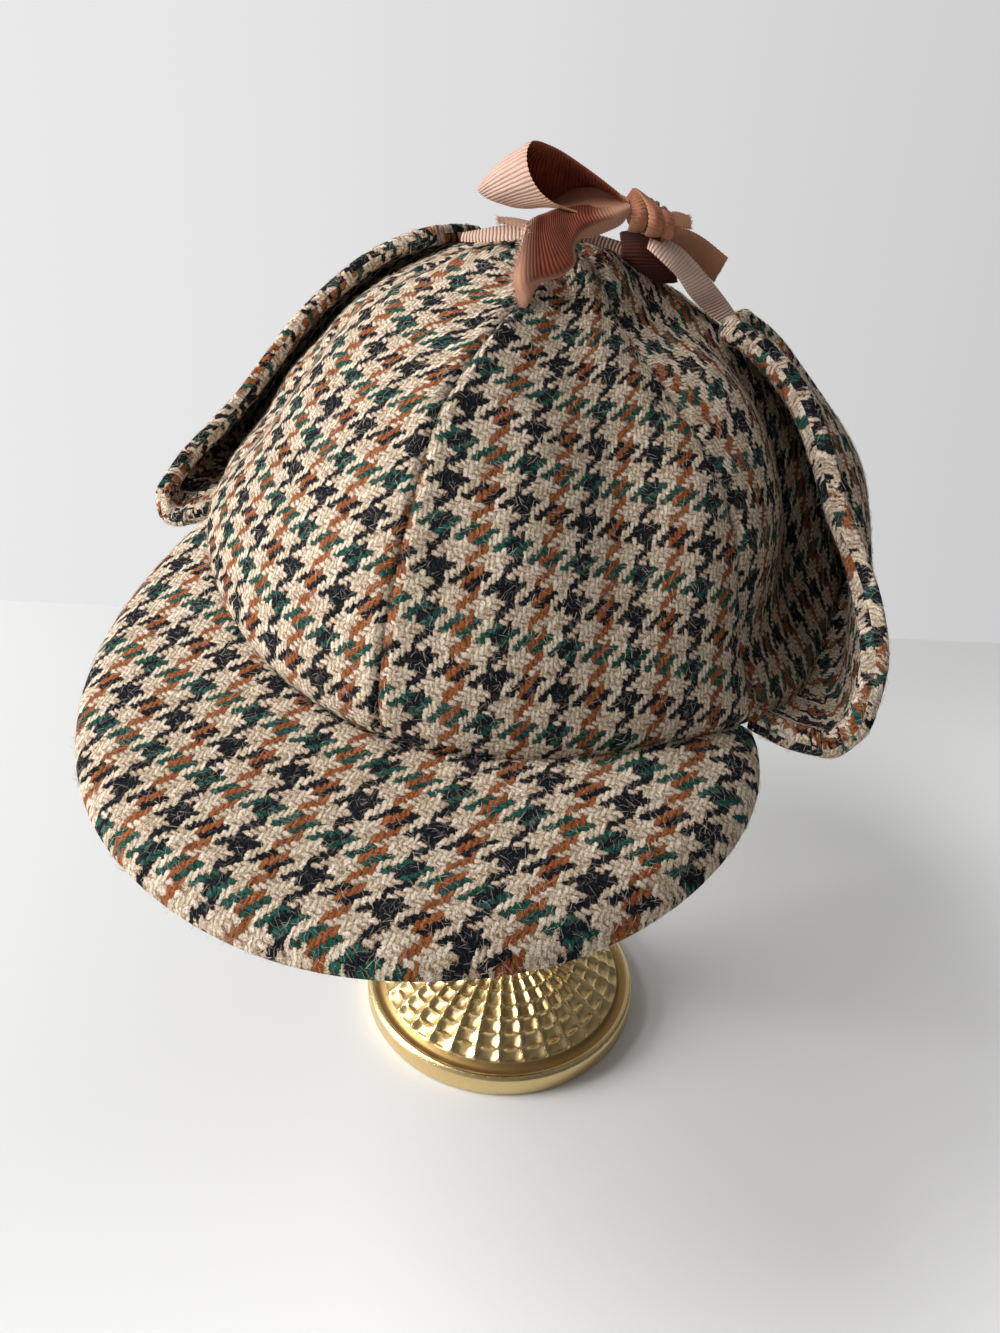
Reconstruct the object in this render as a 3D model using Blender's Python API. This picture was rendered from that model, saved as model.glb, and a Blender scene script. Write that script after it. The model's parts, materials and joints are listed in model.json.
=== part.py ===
"""Deerstalker hat, its flaps tied up with a ribbon bow, resting on a turned brass hat stand.

Metres, +Z up. The origin is the centre of the stand's foot on the table. The front peak
points along -Y, so the wearer's left is +X. The hat's own shapes are worked out round
HAT_CENTRE, the middle of its rim, and every hat object is placed there.
"""
from math import pi, radians

import bmesh
import bpy
import numpy as np

MM = 0.001

# Crown
HAT_CENTRE = (0.0080, -0.0040, 0.1650)
RIM_HALF_WIDTH_LEFT = 0.0790
RIM_HALF_WIDTH_RIGHT = 0.0830
RIM_HALF_LENGTH = 0.0942
RIM_SIDE_RISE = 0.0146
RIM_SIDE_TILT = 0.0079
RIM_DIP = 0.0085
RIM_DIP_TURN = radians(72)
RIM_DIP_REACH = radians(20)
CROWN_HEIGHT = 0.0800
CROWN_FULLNESS = 1.60
CROWN_LEAN = -0.0080
CLOTH = 0.0022
GAP = 0.0004
GORES = {
    "crown_gore_front_left": (0, 60),
    "crown_gore_side_left": (60, 120),
    "crown_gore_back_left": (120, 180),
    "crown_gore_back_right": (180, 240),
    "crown_gore_side_right": (240, 300),
    "crown_gore_front_right": (300, 360),
}
GORE_COLUMNS = 8
GORE_ROWS = 11
GORE_TOP_LIFT = radians(86)
SEAM_PUCKER = 0.0010
SEAM_REACH = radians(5)

# Dents and bulges of the crown: where each one is, how far it reaches and how deep it is
FOLD_COLUMNS = ("turn_deg", "lift_deg", "turn_reach_deg", "lift_reach_deg", "depth_mm")
FOLDS = (
    (45, 30, 22, 20, 2.0),
    (78, 24, 16, 22, -2.0),
    (100, 12, 28, 22, -6.5),
    (-66, 30, 27, 17, -7.4),
)

# Peaks
PEAK_HALF_SPAN = radians(57)
PEAK_DEPTH = 0.0428
PEAK_FULLNESS = 0.66
PEAK_GAP = 0.0008
PEAK_SKEW = 0.09
PEAK_SLOPE_MIDDLE = radians(17.5)
PEAK_SLOPE_SIDE = radians(29.6)
PEAK_THICKNESS = 0.0036
PEAK_EDGE_THICKNESS = 0.0020
PEAK_CORNER_WIDTH = 0.0010
PEAK_COLUMNS = 36
PEAK_ROWS = 7

# Ear flaps: the outer face is drawn between a front, a middle and a back guide, each from the
# seam at the rim up to the tip. A point is below the rim by its drop, or up the crown by its
# lift, and stands off the smooth crown by its out. Turns are counted from the front to the side.
FLAP_THICKNESS = 0.0022
FLAP_BORDER_THICKNESS = 0.0042
FLAP_BORDER_WIDTH = 0.0060
FLAP_COLUMNS = 11
FLAP_STEPS = 2
FLAP_SMOOTHING = 16
FLAP_GUIDE_COLUMNS = ("turn_deg", "lift_deg", "drop_mm", "out_mm")
FLAP_LEFT = {
    "front": (
        (57.8, 0, 0.4, 0.5),
        (58.4, 0, 3.0, 6.0),
        (60.0, 0, 4.9, 10.7),
        (62.0, 0, 5.3, 14.4),
        (64.0, 0, 1.5, 16.6),
        (66.0, 4.7, 0, 17.6),
        (69.0, 10.5, 0, 18.6),
        (72.0, 16.1, 0, 17.6),
        (75.0, 21.5, 0, 14.4),
        (78.0, 27.3, 0, 11.2),
        (80.5, 33.2, 0, 11.9),
        (83.0, 39.5, 0, 13.0),
        (85.5, 46.2, 0, 11.6),
        (88.0, 53.0, 0, 8.8),
    ),
    "middle": (
        (90.0, 0, 0.4, -3.4),
        (90.0, 0, 2.8, -0.5),
        (90.0, 0, 3.2, 3.4),
        (90.0, 0, 0.5, 6.0),
        (91.0, 4.5, 0, 6.2),
        (92.0, 9.5, 0, 5.6),
        (93.0, 14.5, 0, 5.2),
        (94.0, 20.0, 0, 5.4),
        (95.0, 25.5, 0, 6.4),
        (96.0, 31.5, 0, 7.4),
        (97.0, 37.5, 0, 8.0),
        (97.0, 43.5, 0, 8.2),
        (96.5, 49.5, 0, 8.0),
        (96.0, 55.0, 0, 7.6),
    ),
    "back": (
        (121.5, 0, 0.4, -2.1),
        (122.0, 0, 2.6, 1.4),
        (121.5, 0, 2.6, 4.6),
        (121.0, 0, 0.2, 6.4),
        (120.5, 4.5, 0, 6.2),
        (120.0, 8.5, 0, 5.6),
        (119.0, 13.0, 0, 5.2),
        (118.0, 18.0, 0, 5.2),
        (117.0, 23.0, 0, 5.6),
        (115.0, 29.0, 0, 6.2),
        (113.0, 35.5, 0, 6.6),
        (111.0, 42.0, 0, 7.0),
        (108.0, 48.0, 0, 7.4),
        (104.0, 53.0, 0, 7.6),
    ),
}
FLAP_RIGHT = {
    "front": (
        (58.4, 0, 0.4, 0.5),
        (58.6, 0, 5.0, 5.5),
        (59.5, 0, 8.0, 10.0),
        (60.5, 0, 6.0, 14.5),
        (62.5, 0, 0.5, 15.6),
        (64.5, 5.7, 0, 12.4),
        (66.2, 14.5, 0, 7.6),
        (69.0, 23.0, 0, 4.0),
        (71.0, 32.7, 0, 3.0),
        (73.0, 41.0, 0, 4.4),
        (75.0, 48.0, 0, 5.9),
        (77.0, 54.5, 0, 7.0),
        (80.0, 61.0, 0, 6.6),
        (85.0, 66.5, 0, 5.8),
    ),
    "middle": (
        (90.0, 0, 0.4, 0.5),
        (90.0, 0, 2.4, 3.6),
        (90.0, 0, 2.2, 6.6),
        (90.0, 1.0, 0, 8.4),
        (91.0, 5.0, 0, 8.8),
        (92.0, 9.5, 0, 7.8),
        (93.0, 16.0, 0, 6.2),
        (94.0, 24.0, 0, 5.2),
        (95.0, 33.0, 0, 5.0),
        (96.0, 41.0, 0, 5.6),
        (97.0, 48.0, 0, 6.2),
        (98.5, 55.5, 0, 6.8),
        (99.5, 62.0, 0, 6.4),
        (102.0, 67.5, 0, 5.8),
    ),
    "back": (
        (121.5, 0, 0.4, 0.5),
        (122.0, 0, 2.4, 3.8),
        (121.5, 0, 2.2, 6.6),
        (121.0, 1.0, 0, 8.4),
        (120.5, 4.5, 0, 8.6),
        (120.0, 9.0, 0, 8.0),
        (119.5, 16.0, 0, 7.0),
        (119.0, 24.0, 0, 6.5),
        (118.0, 32.0, 0, 6.5),
        (117.5, 40.0, 0, 6.5),
        (117.0, 47.0, 0, 6.5),
        (117.5, 54.0, 0, 6.6),
        (119.0, 60.0, 0, 6.4),
        (120.0, 65.5, 0, 5.8),
    ),
}

# Ribbon: each row is a point of the near edge and one of the far edge, in mm from the origin, and
# how far the middle of the ribbon bulges between them
RIBBON_THICKNESS = 0.0010
RIBBON_COLUMNS = 5
RIBBON_STEPS = 2
RIBBON_ROW_COLUMNS = ("near_x", "near_y", "near_z", "far_x", "far_y", "far_z", "bulge_mm")
TIE_LEFT = (
    (22.0, -3.0, 242.9, 22.5, 2.5, 243.3, 0.2),
    (25.0, -4.0, 242.9, 25.5, 3.0, 243.9, 0.5),
    (29.0, -4.5, 241.5, 29.5, 5.0, 243.0, 1.0),
    (31.5, -3.5, 239.5, 33.0, 9.0, 240.5, 1.5),
    (34.5, -1.0, 236.0, 36.5, 13.0, 237.0, 1.5),
    (38.0, 1.5, 233.0, 40.0, 15.0, 233.5, 1.5),
    (41.5, 5.0, 230.0, 42.5, 15.5, 230.0, 1.0),
)
TIE_RIGHT = (
    (15.5, -3.5, 248.5, 14.0, -0.5, 249.5, 0.3),
    (12.0, -8.0, 248.0, 9.5, -1.5, 249.5, 0.8),
    (5.0, -13.0, 246.5, 0.5, -4.0, 248.5, 1.0),
    (-2.0, -15.0, 245.5, -6.0, -7.0, 247.0, 1.0),
    (-8.0, -15.5, 244.5, -12.0, -8.5, 246.5, 1.0),
    (-15.0, -15.0, 244.0, -18.0, -10.0, 245.5, 0.5),
)
BOW_LOOP = (
    (18.0, -4.0, 254.0, 15.5, 0.5, 254.5, 0.4),
    (15.5, -6.5, 256.5, 10.0, 2.0, 256.0, 1.0),
    (12.0, -9.0, 259.5, 5.0, 2.0, 256.5, 1.0),
    (8.0, -12.0, 262.0, 0.0, 0.0, 256.0, 1.0),
    (4.0, -14.5, 263.5, -6.5, -3.0, 256.5, 1.0),
    (0.5, -16.0, 264.0, -13.0, -8.0, 257.0, 1.0),
    (0.0, -17.5, 261.5, -14.5, -12.0, 255.0, 1.0),
    (0.0, -17.5, 258.5, -13.0, -13.5, 253.5, 1.0),
    (1.5, -16.5, 256.0, -11.5, -11.5, 252.0, 1.0),
    (4.0, -15.5, 253.5, -8.0, -8.0, 251.0, 1.0),
    (7.0, -13.5, 252.0, -2.5, -4.5, 251.5, 1.0),
    (11.0, -10.5, 251.2, 3.0, -4.0, 253.0, 1.0),
    (15.0, -7.5, 250.8, 11.0, -3.5, 253.5, 0.8),
    (17.5, -6.0, 250.8, 15.0, -2.5, 251.2, 0.3),
)
BOW_TAIL_FRONT = (
    (18.0, -8.0, 249.8, 18.0, -7.5, 251.8, 0.2),
    (17.0, -12.5, 248.0, 14.5, -11.5, 250.5, 0.5),
    (15.0, -18.0, 246.5, 11.0, -16.0, 250.5, 1.0),
    (14.0, -23.5, 245.0, 7.5, -20.5, 250.8, 1.5),
    (15.5, -27.0, 242.5, 4.5, -24.0, 250.8, 2.0),
    (12.0, -32.0, 240.5, 2.0, -27.5, 250.5, 1.0),
    (12.0, -40.5, 236.5, 0.0, -29.5, 250.0, 0.5),
)
BOW_TAIL_SIDE = (
    (27.0, 5.5, 247.5, 27.5, 5.5, 251.5, 0.3),
    (29.5, 9.5, 244.5, 30.5, 8.0, 249.5, 0.5),
    (32.5, 14.0, 242.0, 34.5, 10.5, 247.5, 0.8),
    (36.0, 17.5, 238.5, 39.0, 12.5, 243.0, 0.8),
)
KNOT_CENTRE = (0.0225, 0.0005, 0.2508)
KNOT_HALF_SIZE = (0.0062, 0.0062, 0.0066)
KNOT_TILT = radians(30)

# Brass stand: radius and height of each turn of the profile, from the centre of the foot's underside
STAND_PROFILE_COLUMNS = ("radius_mm", "height_mm")
STAND_PROFILE = (
    (44.5, 0.0),
    (46.0, 1.5),
    (46.0, 6.0),
    (44.8, 7.8),
    (42.5, 8.3),
    (40.0, 9.6),
    (34.0, 13.4),
    (27.0, 16.6),
    (19.0, 19.0),
    (12.5, 20.6),
    (8.6, 24.0),
    (6.8, 31.0),
    (6.0, 45.0),
    (6.0, 205.0),
    (7.0, 209.0),
    (12.0, 213.0),
    (15.0, 218.0),
    (16.0, 223.5),
    (15.0, 229.0),
    (11.0, 234.0),
    (5.0, 237.2),
)
STAND_TOP_HEIGHT = 0.2380
STAND_SIDES = 48

COLOURS = {
    "tweed": (0.36, 0.29, 0.22, 1.0),
    "ribbon": (0.55, 0.32, 0.25, 1.0),
    "brass": (0.72, 0.55, 0.24, 1.0),
}


def clear_scene():
    for existing in list(bpy.data.objects):
        bpy.data.objects.remove(existing, do_unlink=True)


def make_material(name, colour, roughness, metallic):
    material = bpy.data.materials.new(name)
    material.use_nodes = True
    shader = material.node_tree.nodes["Principled BSDF"]
    shader.inputs["Base Color"].default_value = colour
    shader.inputs["Roughness"].default_value = roughness
    shader.inputs["Metallic"].default_value = metallic
    return material


def object_from_mesh(name, mesh, material, location=(0, 0, 0)):
    """An object of its own material, with its faces turned outwards and shaded smooth."""
    work = bmesh.new()
    work.from_mesh(mesh)
    bmesh.ops.remove_doubles(work, verts=work.verts, dist=0.00001)
    bmesh.ops.recalc_face_normals(work, faces=work.faces)
    work.to_mesh(mesh)
    work.free()
    mesh.shade_smooth()
    mesh.set_sharp_from_angle(angle=radians(50))
    mesh.materials.append(material)
    placed = bpy.data.objects.new(name, mesh)
    placed.location = location
    bpy.context.collection.objects.link(placed)
    return placed


def closed_wall(name, outer, inner, material, location=(0, 0, 0)):
    """One closed body between two grids of points with the same rows and columns."""
    rows, columns = outer.shape[:2]
    points = np.concatenate([outer.reshape(-1, 3), inner.reshape(-1, 3)])
    offset = rows * columns

    def at(row, column):
        return row * columns + column

    faces = []
    for row in range(rows - 1):
        for column in range(columns - 1):
            quad = (at(row, column), at(row, column + 1), at(row + 1, column + 1), at(row + 1, column))
            faces.append(quad)
            faces.append(tuple(corner + offset for corner in reversed(quad)))
    border = [at(0, column) for column in range(columns)]
    border += [at(row, columns - 1) for row in range(1, rows)]
    border += [at(rows - 1, column) for column in range(columns - 2, -1, -1)]
    border += [at(row, 0) for row in range(rows - 2, 0, -1)]
    for start, end in zip(border, border[1:] + border[:1]):
        faces.append((end, start, start + offset, end + offset))
    mesh = bpy.data.meshes.new(name)
    mesh.from_pydata([tuple(point) for point in points], [], faces)
    return object_from_mesh(name, mesh, material, location)


def unit(vectors):
    return vectors / np.maximum(np.linalg.norm(vectors, axis=-1, keepdims=True), 1e-12)


def rim_half_width(turn):
    """The rim is a little wider on the wearer's right."""
    middle = (RIM_HALF_WIDTH_LEFT + RIM_HALF_WIDTH_RIGHT) / 2
    return middle + (RIM_HALF_WIDTH_LEFT - middle) * np.sin(turn)


def turn_apart(turn, middle):
    return (turn - middle + pi) % (2 * pi) - pi


def rim_height(turn):
    """The rim rises to the sides, less on the wearer's left, where the flap drags it down."""
    dip = RIM_DIP * np.exp(-(turn_apart(turn, RIM_DIP_TURN) / RIM_DIP_REACH) ** 2)
    return RIM_SIDE_RISE * np.sin(turn) ** 2 - RIM_SIDE_TILT * np.sin(turn) - dip


def bare_crown(turn, lift):
    """The crown without folds. turn runs from the front towards +X, lift from the rim to the top."""
    spread = np.maximum(np.cos(lift), 0) ** (2 / CROWN_FULLNESS)
    climb = np.maximum(np.sin(lift), 0) ** (2 / CROWN_FULLNESS)
    x = spread * rim_half_width(turn) * np.sin(turn) + CROWN_LEAN * climb
    y = -spread * RIM_HALF_LENGTH * np.cos(turn)
    z = rim_height(turn) * (1 - climb) + CROWN_HEIGHT * climb
    return np.stack([x, y, z], axis=-1)


def crown_normal(turn, lift):
    step = 0.01
    lift = np.clip(lift, radians(2), radians(88))
    along = bare_crown(turn + step, lift) - bare_crown(turn - step, lift)
    up = bare_crown(turn, lift + step) - bare_crown(turn, lift - step)
    return unit(np.cross(along, up))


def fold_depth(turn, lift):
    depth = np.zeros_like(turn)
    for row in FOLDS:
        fold = dict(zip(FOLD_COLUMNS, row))
        across = turn_apart(turn, radians(fold["turn_deg"])) / radians(fold["turn_reach_deg"])
        upward = (lift - radians(fold["lift_deg"])) / radians(fold["lift_reach_deg"])
        depth = depth + fold["depth_mm"] * MM * np.exp(-across ** 2 - upward ** 2)
    return depth


def crown_point(turn, lift, out=0.0):
    """A point out from the crown's outer face, folds included."""
    turn, lift = np.broadcast_arrays(np.asarray(turn, float), np.asarray(lift, float))
    depth = fold_depth(turn, lift) + out
    return bare_crown(turn, lift) + crown_normal(turn, lift) * depth[..., None]


def build_gore(name, start, end, material):
    """One crown panel, full between its seams, which are drawn in a little."""
    lift = np.linspace(0, GORE_TOP_LIFT, GORE_ROWS)[:, None]
    share = np.linspace(0, 1, GORE_COLUMNS)[None, :]
    reach = np.cos(lift) ** (2 / CROWN_FULLNESS) * RIM_HALF_WIDTH_LEFT
    trim = GAP / 2 / reach
    first = radians(start) + trim
    last = radians(end) - trim
    turn = first + (last - first) * share
    lift = np.broadcast_to(lift, turn.shape)
    nearest = np.minimum(turn - radians(start), radians(end) - turn)
    pucker = -SEAM_PUCKER * np.exp(-(nearest / SEAM_REACH) ** 2)
    outer = crown_point(turn, lift, pucker)
    inner = crown_point(turn, lift, pucker - CLOTH)
    inner[0, :, 2] = outer[0, :, 2]
    return closed_wall(name, outer, inner, material, HAT_CENTRE)


def build_peak(name, middle, skew, material):
    """A stiff crescent that slopes out and down from the rim, with skew fuller on one side."""
    share = np.linspace(0, 1, PEAK_COLUMNS)[None, :]
    side = np.abs(2 * share - 1)
    turn = middle + (2 * share - 1) * PEAK_HALF_SPAN
    slope = PEAK_SLOPE_MIDDLE + (PEAK_SLOPE_SIDE - PEAK_SLOPE_MIDDLE) * side ** 1.5
    width = PEAK_DEPTH * np.sin(pi * share) ** PEAK_FULLNESS * (1 + skew * (1 - 2 * share)) + PEAK_CORNER_WIDTH
    half_width = rim_half_width(turn)
    out = unit(np.stack([np.sin(turn) / half_width, -np.cos(turn) / RIM_HALF_LENGTH, 0 * turn], axis=-1))
    rim = np.stack([half_width * np.sin(turn), -RIM_HALF_LENGTH * np.cos(turn), rim_height(turn)], axis=-1)
    progress = np.linspace(0, 1, PEAK_ROWS)[:, None]
    reach = np.concatenate([np.full_like(width, -CLOTH), progress * width])
    slope = np.broadcast_to(slope, reach.shape)
    level = np.maximum(reach, 0)
    top = rim + out * (reach * np.where(reach > 0, np.cos(slope), 1))[..., None]
    top[..., 2] -= PEAK_GAP + level * np.sin(slope)
    thickness = PEAK_THICKNESS + (PEAK_EDGE_THICKNESS - PEAK_THICKNESS) * level / width.max()
    under = top.copy()
    under[..., 2] -= thickness
    return closed_wall(name, top, under, material, HAT_CENTRE)


def smooth_rows(values, steps):
    """Rows between the given ones, on Catmull-Rom curves through them."""
    values = np.asarray(values, float)
    padded = np.concatenate([2 * values[:1] - values[1:2], values, 2 * values[-1:] - values[-2:-1]])
    result = []
    for index in range(len(values) - 1):
        before, start, end, after = padded[index:index + 4]
        for share in np.arange(steps) / steps:
            bend = 2 * before - 5 * start + 4 * end - after
            twist = 3 * (start - end) + after - before
            result.append(start + 0.5 * share * (end - before + share * (bend + share * twist)))
    result.append(values[-1])
    return np.array(result)


def build_flap(name, guides, side, material):
    """An ear flap turned up against the crown. side is 1 for the wearer's left, -1 for the right."""
    front, middle, back = (smooth_rows(guides[place], FLAP_STEPS)[:, None] for place in guides)
    share = np.linspace(0, 1, FLAP_COLUMNS)[None, :, None]
    blend = front * (1 - share) * (1 - 2 * share)
    blend += middle * 4 * share * (1 - share)
    blend += back * share * (2 * share - 1)
    turn, lift, drop, out = np.moveaxis(blend, 2, 0)
    turn = side * np.radians(turn)
    lift = np.radians(np.maximum(lift, 0))
    outer = bare_crown(turn, lift) + crown_normal(turn, lift) * (out * MM)[..., None]
    outer[..., 2] -= np.maximum(drop, 0) * MM
    across, along = np.gradient(outer, axis=1), np.gradient(outer, axis=0)
    facing = unit(np.cross(across, along)) * side
    for _ in range(FLAP_SMOOTHING):
        facing[1:-1] = unit(facing[:-2] + 2 * facing[1:-1] + facing[2:])
    from_edge = np.minimum(
        np.linalg.norm(outer - outer[:, :1], axis=-1), np.linalg.norm(outer - outer[:, -1:], axis=-1)
    )
    border = np.exp(-(from_edge / FLAP_BORDER_WIDTH) ** 2)
    thickness = FLAP_THICKNESS + (FLAP_BORDER_THICKNESS - FLAP_THICKNESS) * border
    inner = outer - facing * thickness[..., None]
    return closed_wall(name, outer, inner, material, HAT_CENTRE)


def build_ribbon(name, table, material):
    """A stretch of ribbon between the two edges that its table gives."""
    rows = smooth_rows(table, RIBBON_STEPS)
    near = rows[:, None, :3] * MM
    far = rows[:, None, 3:6] * MM
    bulge = rows[:, None, 6:] * MM
    share = np.linspace(0, 1, RIBBON_COLUMNS)[None, :, None]
    flat = near + (far - near) * share
    facing = unit(np.cross(np.gradient(flat, axis=1), np.gradient(flat, axis=0)))
    sheet = flat + facing * bulge * 4 * share * (1 - share)
    lifted = facing * RIBBON_THICKNESS / 2
    return closed_wall(name, sheet + lifted, sheet - lifted, material)


def build_knot(material):
    mesh = bpy.data.meshes.new("bow_knot")
    work = bmesh.new()
    bmesh.ops.create_uvsphere(work, u_segments=14, v_segments=9, radius=1.0)
    bmesh.ops.scale(work, vec=KNOT_HALF_SIZE, verts=work.verts)
    work.to_mesh(mesh)
    work.free()
    knot = object_from_mesh("bow_knot", mesh, material, KNOT_CENTRE)
    knot.rotation_euler = (0, KNOT_TILT, 0)
    return knot


def build_stand(material):
    """The stand turned about its axis, closed by a flat foot and a round top."""
    work = bmesh.new()
    rings = []
    for radius, height in STAND_PROFILE:
        ring = []
        for index in range(STAND_SIDES):
            angle = 2 * pi * index / STAND_SIDES
            ring.append(work.verts.new((radius * MM * np.cos(angle), radius * MM * np.sin(angle), height * MM)))
        rings.append(ring)
    foot = work.verts.new((0, 0, 0))
    top = work.verts.new((0, 0, STAND_TOP_HEIGHT))
    for index in range(STAND_SIDES):
        following = (index + 1) % STAND_SIDES
        work.faces.new((foot, rings[0][following], rings[0][index]))
        work.faces.new((top, rings[-1][index], rings[-1][following]))
        for lower, upper in zip(rings, rings[1:]):
            work.faces.new((lower[index], lower[following], upper[following], upper[index]))
    mesh = bpy.data.meshes.new("stand")
    work.to_mesh(mesh)
    work.free()
    return object_from_mesh("stand", mesh, material)


def main():
    clear_scene()
    for name, (start, end) in GORES.items():
        build_gore(name, start, end, make_material(name, COLOURS["tweed"], 0.95, 0.0))
    build_peak("peak_front", 0.0, PEAK_SKEW, make_material("peak_front", COLOURS["tweed"], 0.95, 0.0))
    build_peak("peak_back", pi, 0.0, make_material("peak_back", COLOURS["tweed"], 0.95, 0.0))
    build_flap("ear_flap_left", FLAP_LEFT, 1, make_material("ear_flap_left", COLOURS["tweed"], 0.95, 0.0))
    build_flap("ear_flap_right", FLAP_RIGHT, -1, make_material("ear_flap_right", COLOURS["tweed"], 0.95, 0.0))
    ribbons = {
        "tie_left": TIE_LEFT,
        "tie_right": TIE_RIGHT,
        "bow_loop": BOW_LOOP,
        "bow_tail_front": BOW_TAIL_FRONT,
        "bow_tail_side": BOW_TAIL_SIDE,
    }
    for name, table in ribbons.items():
        build_ribbon(name, table, make_material(name, COLOURS["ribbon"], 0.6, 0.0))
    build_knot(make_material("bow_knot", COLOURS["ribbon"], 0.6, 0.0))
    build_stand(make_material("stand", COLOURS["brass"], 0.3, 1.0))


main()
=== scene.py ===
"""Looks of the deerstalker hat on its brass stand: gun-club tweed, grosgrain bow, beaded brass.

Metres, +Z up, the front peak along -Y and the wearer's left along +X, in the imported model's frame.
"""
import json
from math import cos, pi, radians, sin

import bmesh
import bpy
import numpy as np
from mathutils import Matrix, Vector

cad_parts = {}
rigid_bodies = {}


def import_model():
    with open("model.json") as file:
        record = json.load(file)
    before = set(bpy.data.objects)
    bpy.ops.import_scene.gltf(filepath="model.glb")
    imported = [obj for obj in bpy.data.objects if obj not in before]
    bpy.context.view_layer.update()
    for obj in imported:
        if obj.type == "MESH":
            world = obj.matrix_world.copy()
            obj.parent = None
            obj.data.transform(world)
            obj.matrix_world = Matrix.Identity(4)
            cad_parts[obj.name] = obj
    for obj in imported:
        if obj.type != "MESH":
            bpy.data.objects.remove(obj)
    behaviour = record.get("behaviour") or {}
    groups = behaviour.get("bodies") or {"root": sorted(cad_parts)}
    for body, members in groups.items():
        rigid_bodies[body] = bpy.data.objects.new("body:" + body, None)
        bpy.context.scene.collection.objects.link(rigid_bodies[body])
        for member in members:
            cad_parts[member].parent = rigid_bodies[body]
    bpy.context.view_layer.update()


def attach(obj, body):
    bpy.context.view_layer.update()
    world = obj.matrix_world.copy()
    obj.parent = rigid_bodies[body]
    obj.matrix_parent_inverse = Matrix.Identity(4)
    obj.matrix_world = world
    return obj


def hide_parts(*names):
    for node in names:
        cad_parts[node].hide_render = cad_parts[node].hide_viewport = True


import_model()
MM = 0.001

# The crown's form, as in the solids
HAT_CENTRE = np.array((0.0080, -0.0040, 0.1650))
RIM_HALF_WIDTH_LEFT = 0.0790
RIM_HALF_WIDTH_RIGHT = 0.0830
RIM_HALF_LENGTH = 0.0942
RIM_SIDE_RISE = 0.0146
RIM_SIDE_TILT = 0.0079
RIM_DIP = 0.0085
RIM_DIP_TURN = radians(72)
RIM_DIP_REACH = radians(20)
CROWN_HEIGHT = 0.0800
CROWN_FULLNESS = 1.60
CROWN_LEAN = -0.0080
CLOTH = 0.0022

# Dents and bulges of the cloth: the first rows are the solids' own
FOLD_COLUMNS = ("turn_deg", "lift_deg", "turn_reach_deg", "lift_reach_deg", "depth_mm")
FOLDS = (
    (45, 30, 22, 20, 2.0), (78, 24, 16, 22, -2.0), (100, 12, 28, 22, -6.5),
    (-66, 30, 27, 17, -7.4), (75, 74, 26, 8, 3.2), (75, 62, 19, 8, -4.8), (43, 33, 12, 14, -3.0),
    (77, 46, 11, 14, 3.2), (60, 34, 15, 9, 2.6), (70, 16, 14, 9, -6.0), (84, 19, 9, 11, -4.0),
    (91, 31, 8, 19, -5.4), (36, 42, 15, 24, -3.4), (-26, 40, 15, 24, -2.4), (-74, 31, 10, 8, 2.8),
)
# The front seam stands up as a soft ridge: its height, and how far it reaches to each side
RIDGE_HEIGHT = 0.0040
RIDGE_REACH_RIGHT = 0.018
RIDGE_REACH_LEFT = 0.010
RIDGE_SOFTNESS = 0.0015
RIDGE_RISE = radians(9)
RIDGE_FALL = radians(25)
RIDGE_END = radians(80)
# The front seam leans to the wearer's left, most of all near the top of the crown
SEAM_LEAN = radians(3.5)
SEAM_LEAN_AT_TOP = radians(18)
SEAM_LEAN_REACH = radians(45)
SEAM_LEAN_START = radians(45)
SEAM_LEAN_CLIMB = radians(24)

# How the cloth was cut for each piece: the turn of its grain, the spacing of its yarns, where the
# stripes start, and how far the grain arches and fans out over the piece, in mm per 100 mm squared
GRAIN_COLUMNS = ("turn_deg", "across_mm", "along_mm", "across_start", "along_start", "arch", "fan")
GRAINS = {
    "crown_gore_front_left": (-13.3, 0.855, 1.026, 12.8, 6.8, 0.165, 0.110),
    "crown_gore_front_right": (0.9, 0.876, 0.959, 0.0, 11.0, 0.015, -0.166),
    "crown_gore_side_left": (-8.0, 0.860, 1.030, 3.0, 9.0, 0.10, 0.0),
    "crown_gore_side_right": (6.0, 0.860, 1.030, 7.0, 2.0, 0.10, 0.0),
    "crown_gore_back_left": (-5.0, 0.860, 1.030, 1.0, 5.0, 0.10, 0.0),
    "crown_gore_back_right": (5.0, 0.860, 1.030, 10.0, 13.0, 0.10, 0.0),
    "peak_front": (0.5, 0.906, 1.001, 9.3, 9.5, -0.213, -0.072),
    "peak_back": (0.0, 0.900, 1.000, 2.0, 4.0, -0.20, 0.0),
    "ear_flap_left": (-8.0, 0.880, 1.020, 5.0, 3.0, 0.0, 0.0),
    "ear_flap_right": (12.0, 0.880, 1.020, 6.0, 12.0, 0.0, 0.0),
}

# The panels in order of turn from the front towards the wearer's left
GORES = [f"crown_gore_{place}_left" for place in ("front", "side", "back")]
GORES += [f"crown_gore_{place}_right" for place in ("back", "side", "front")]
GORE_SPAN = 60
GORE_COLUMNS = 56
GORE_ROWS = 76
GORE_TOP_LIFT = radians(89.3)
SEAM_DEPTH = 0.0010
SEAM_WIDTH = 0.0011
SEAM_PUCKER = 0.0012
SEAM_REACH = 0.0065
# The seams are shallower near the rim and where they meet, and the front one hardly puckers
SEAM_START = 0.006
SEAM_MEETING = 0.012
FRONT_SEAM_REACH = radians(8)
RIM_TUCK = 0.0012
RIM_TUCK_REACH = 0.0016

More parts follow.
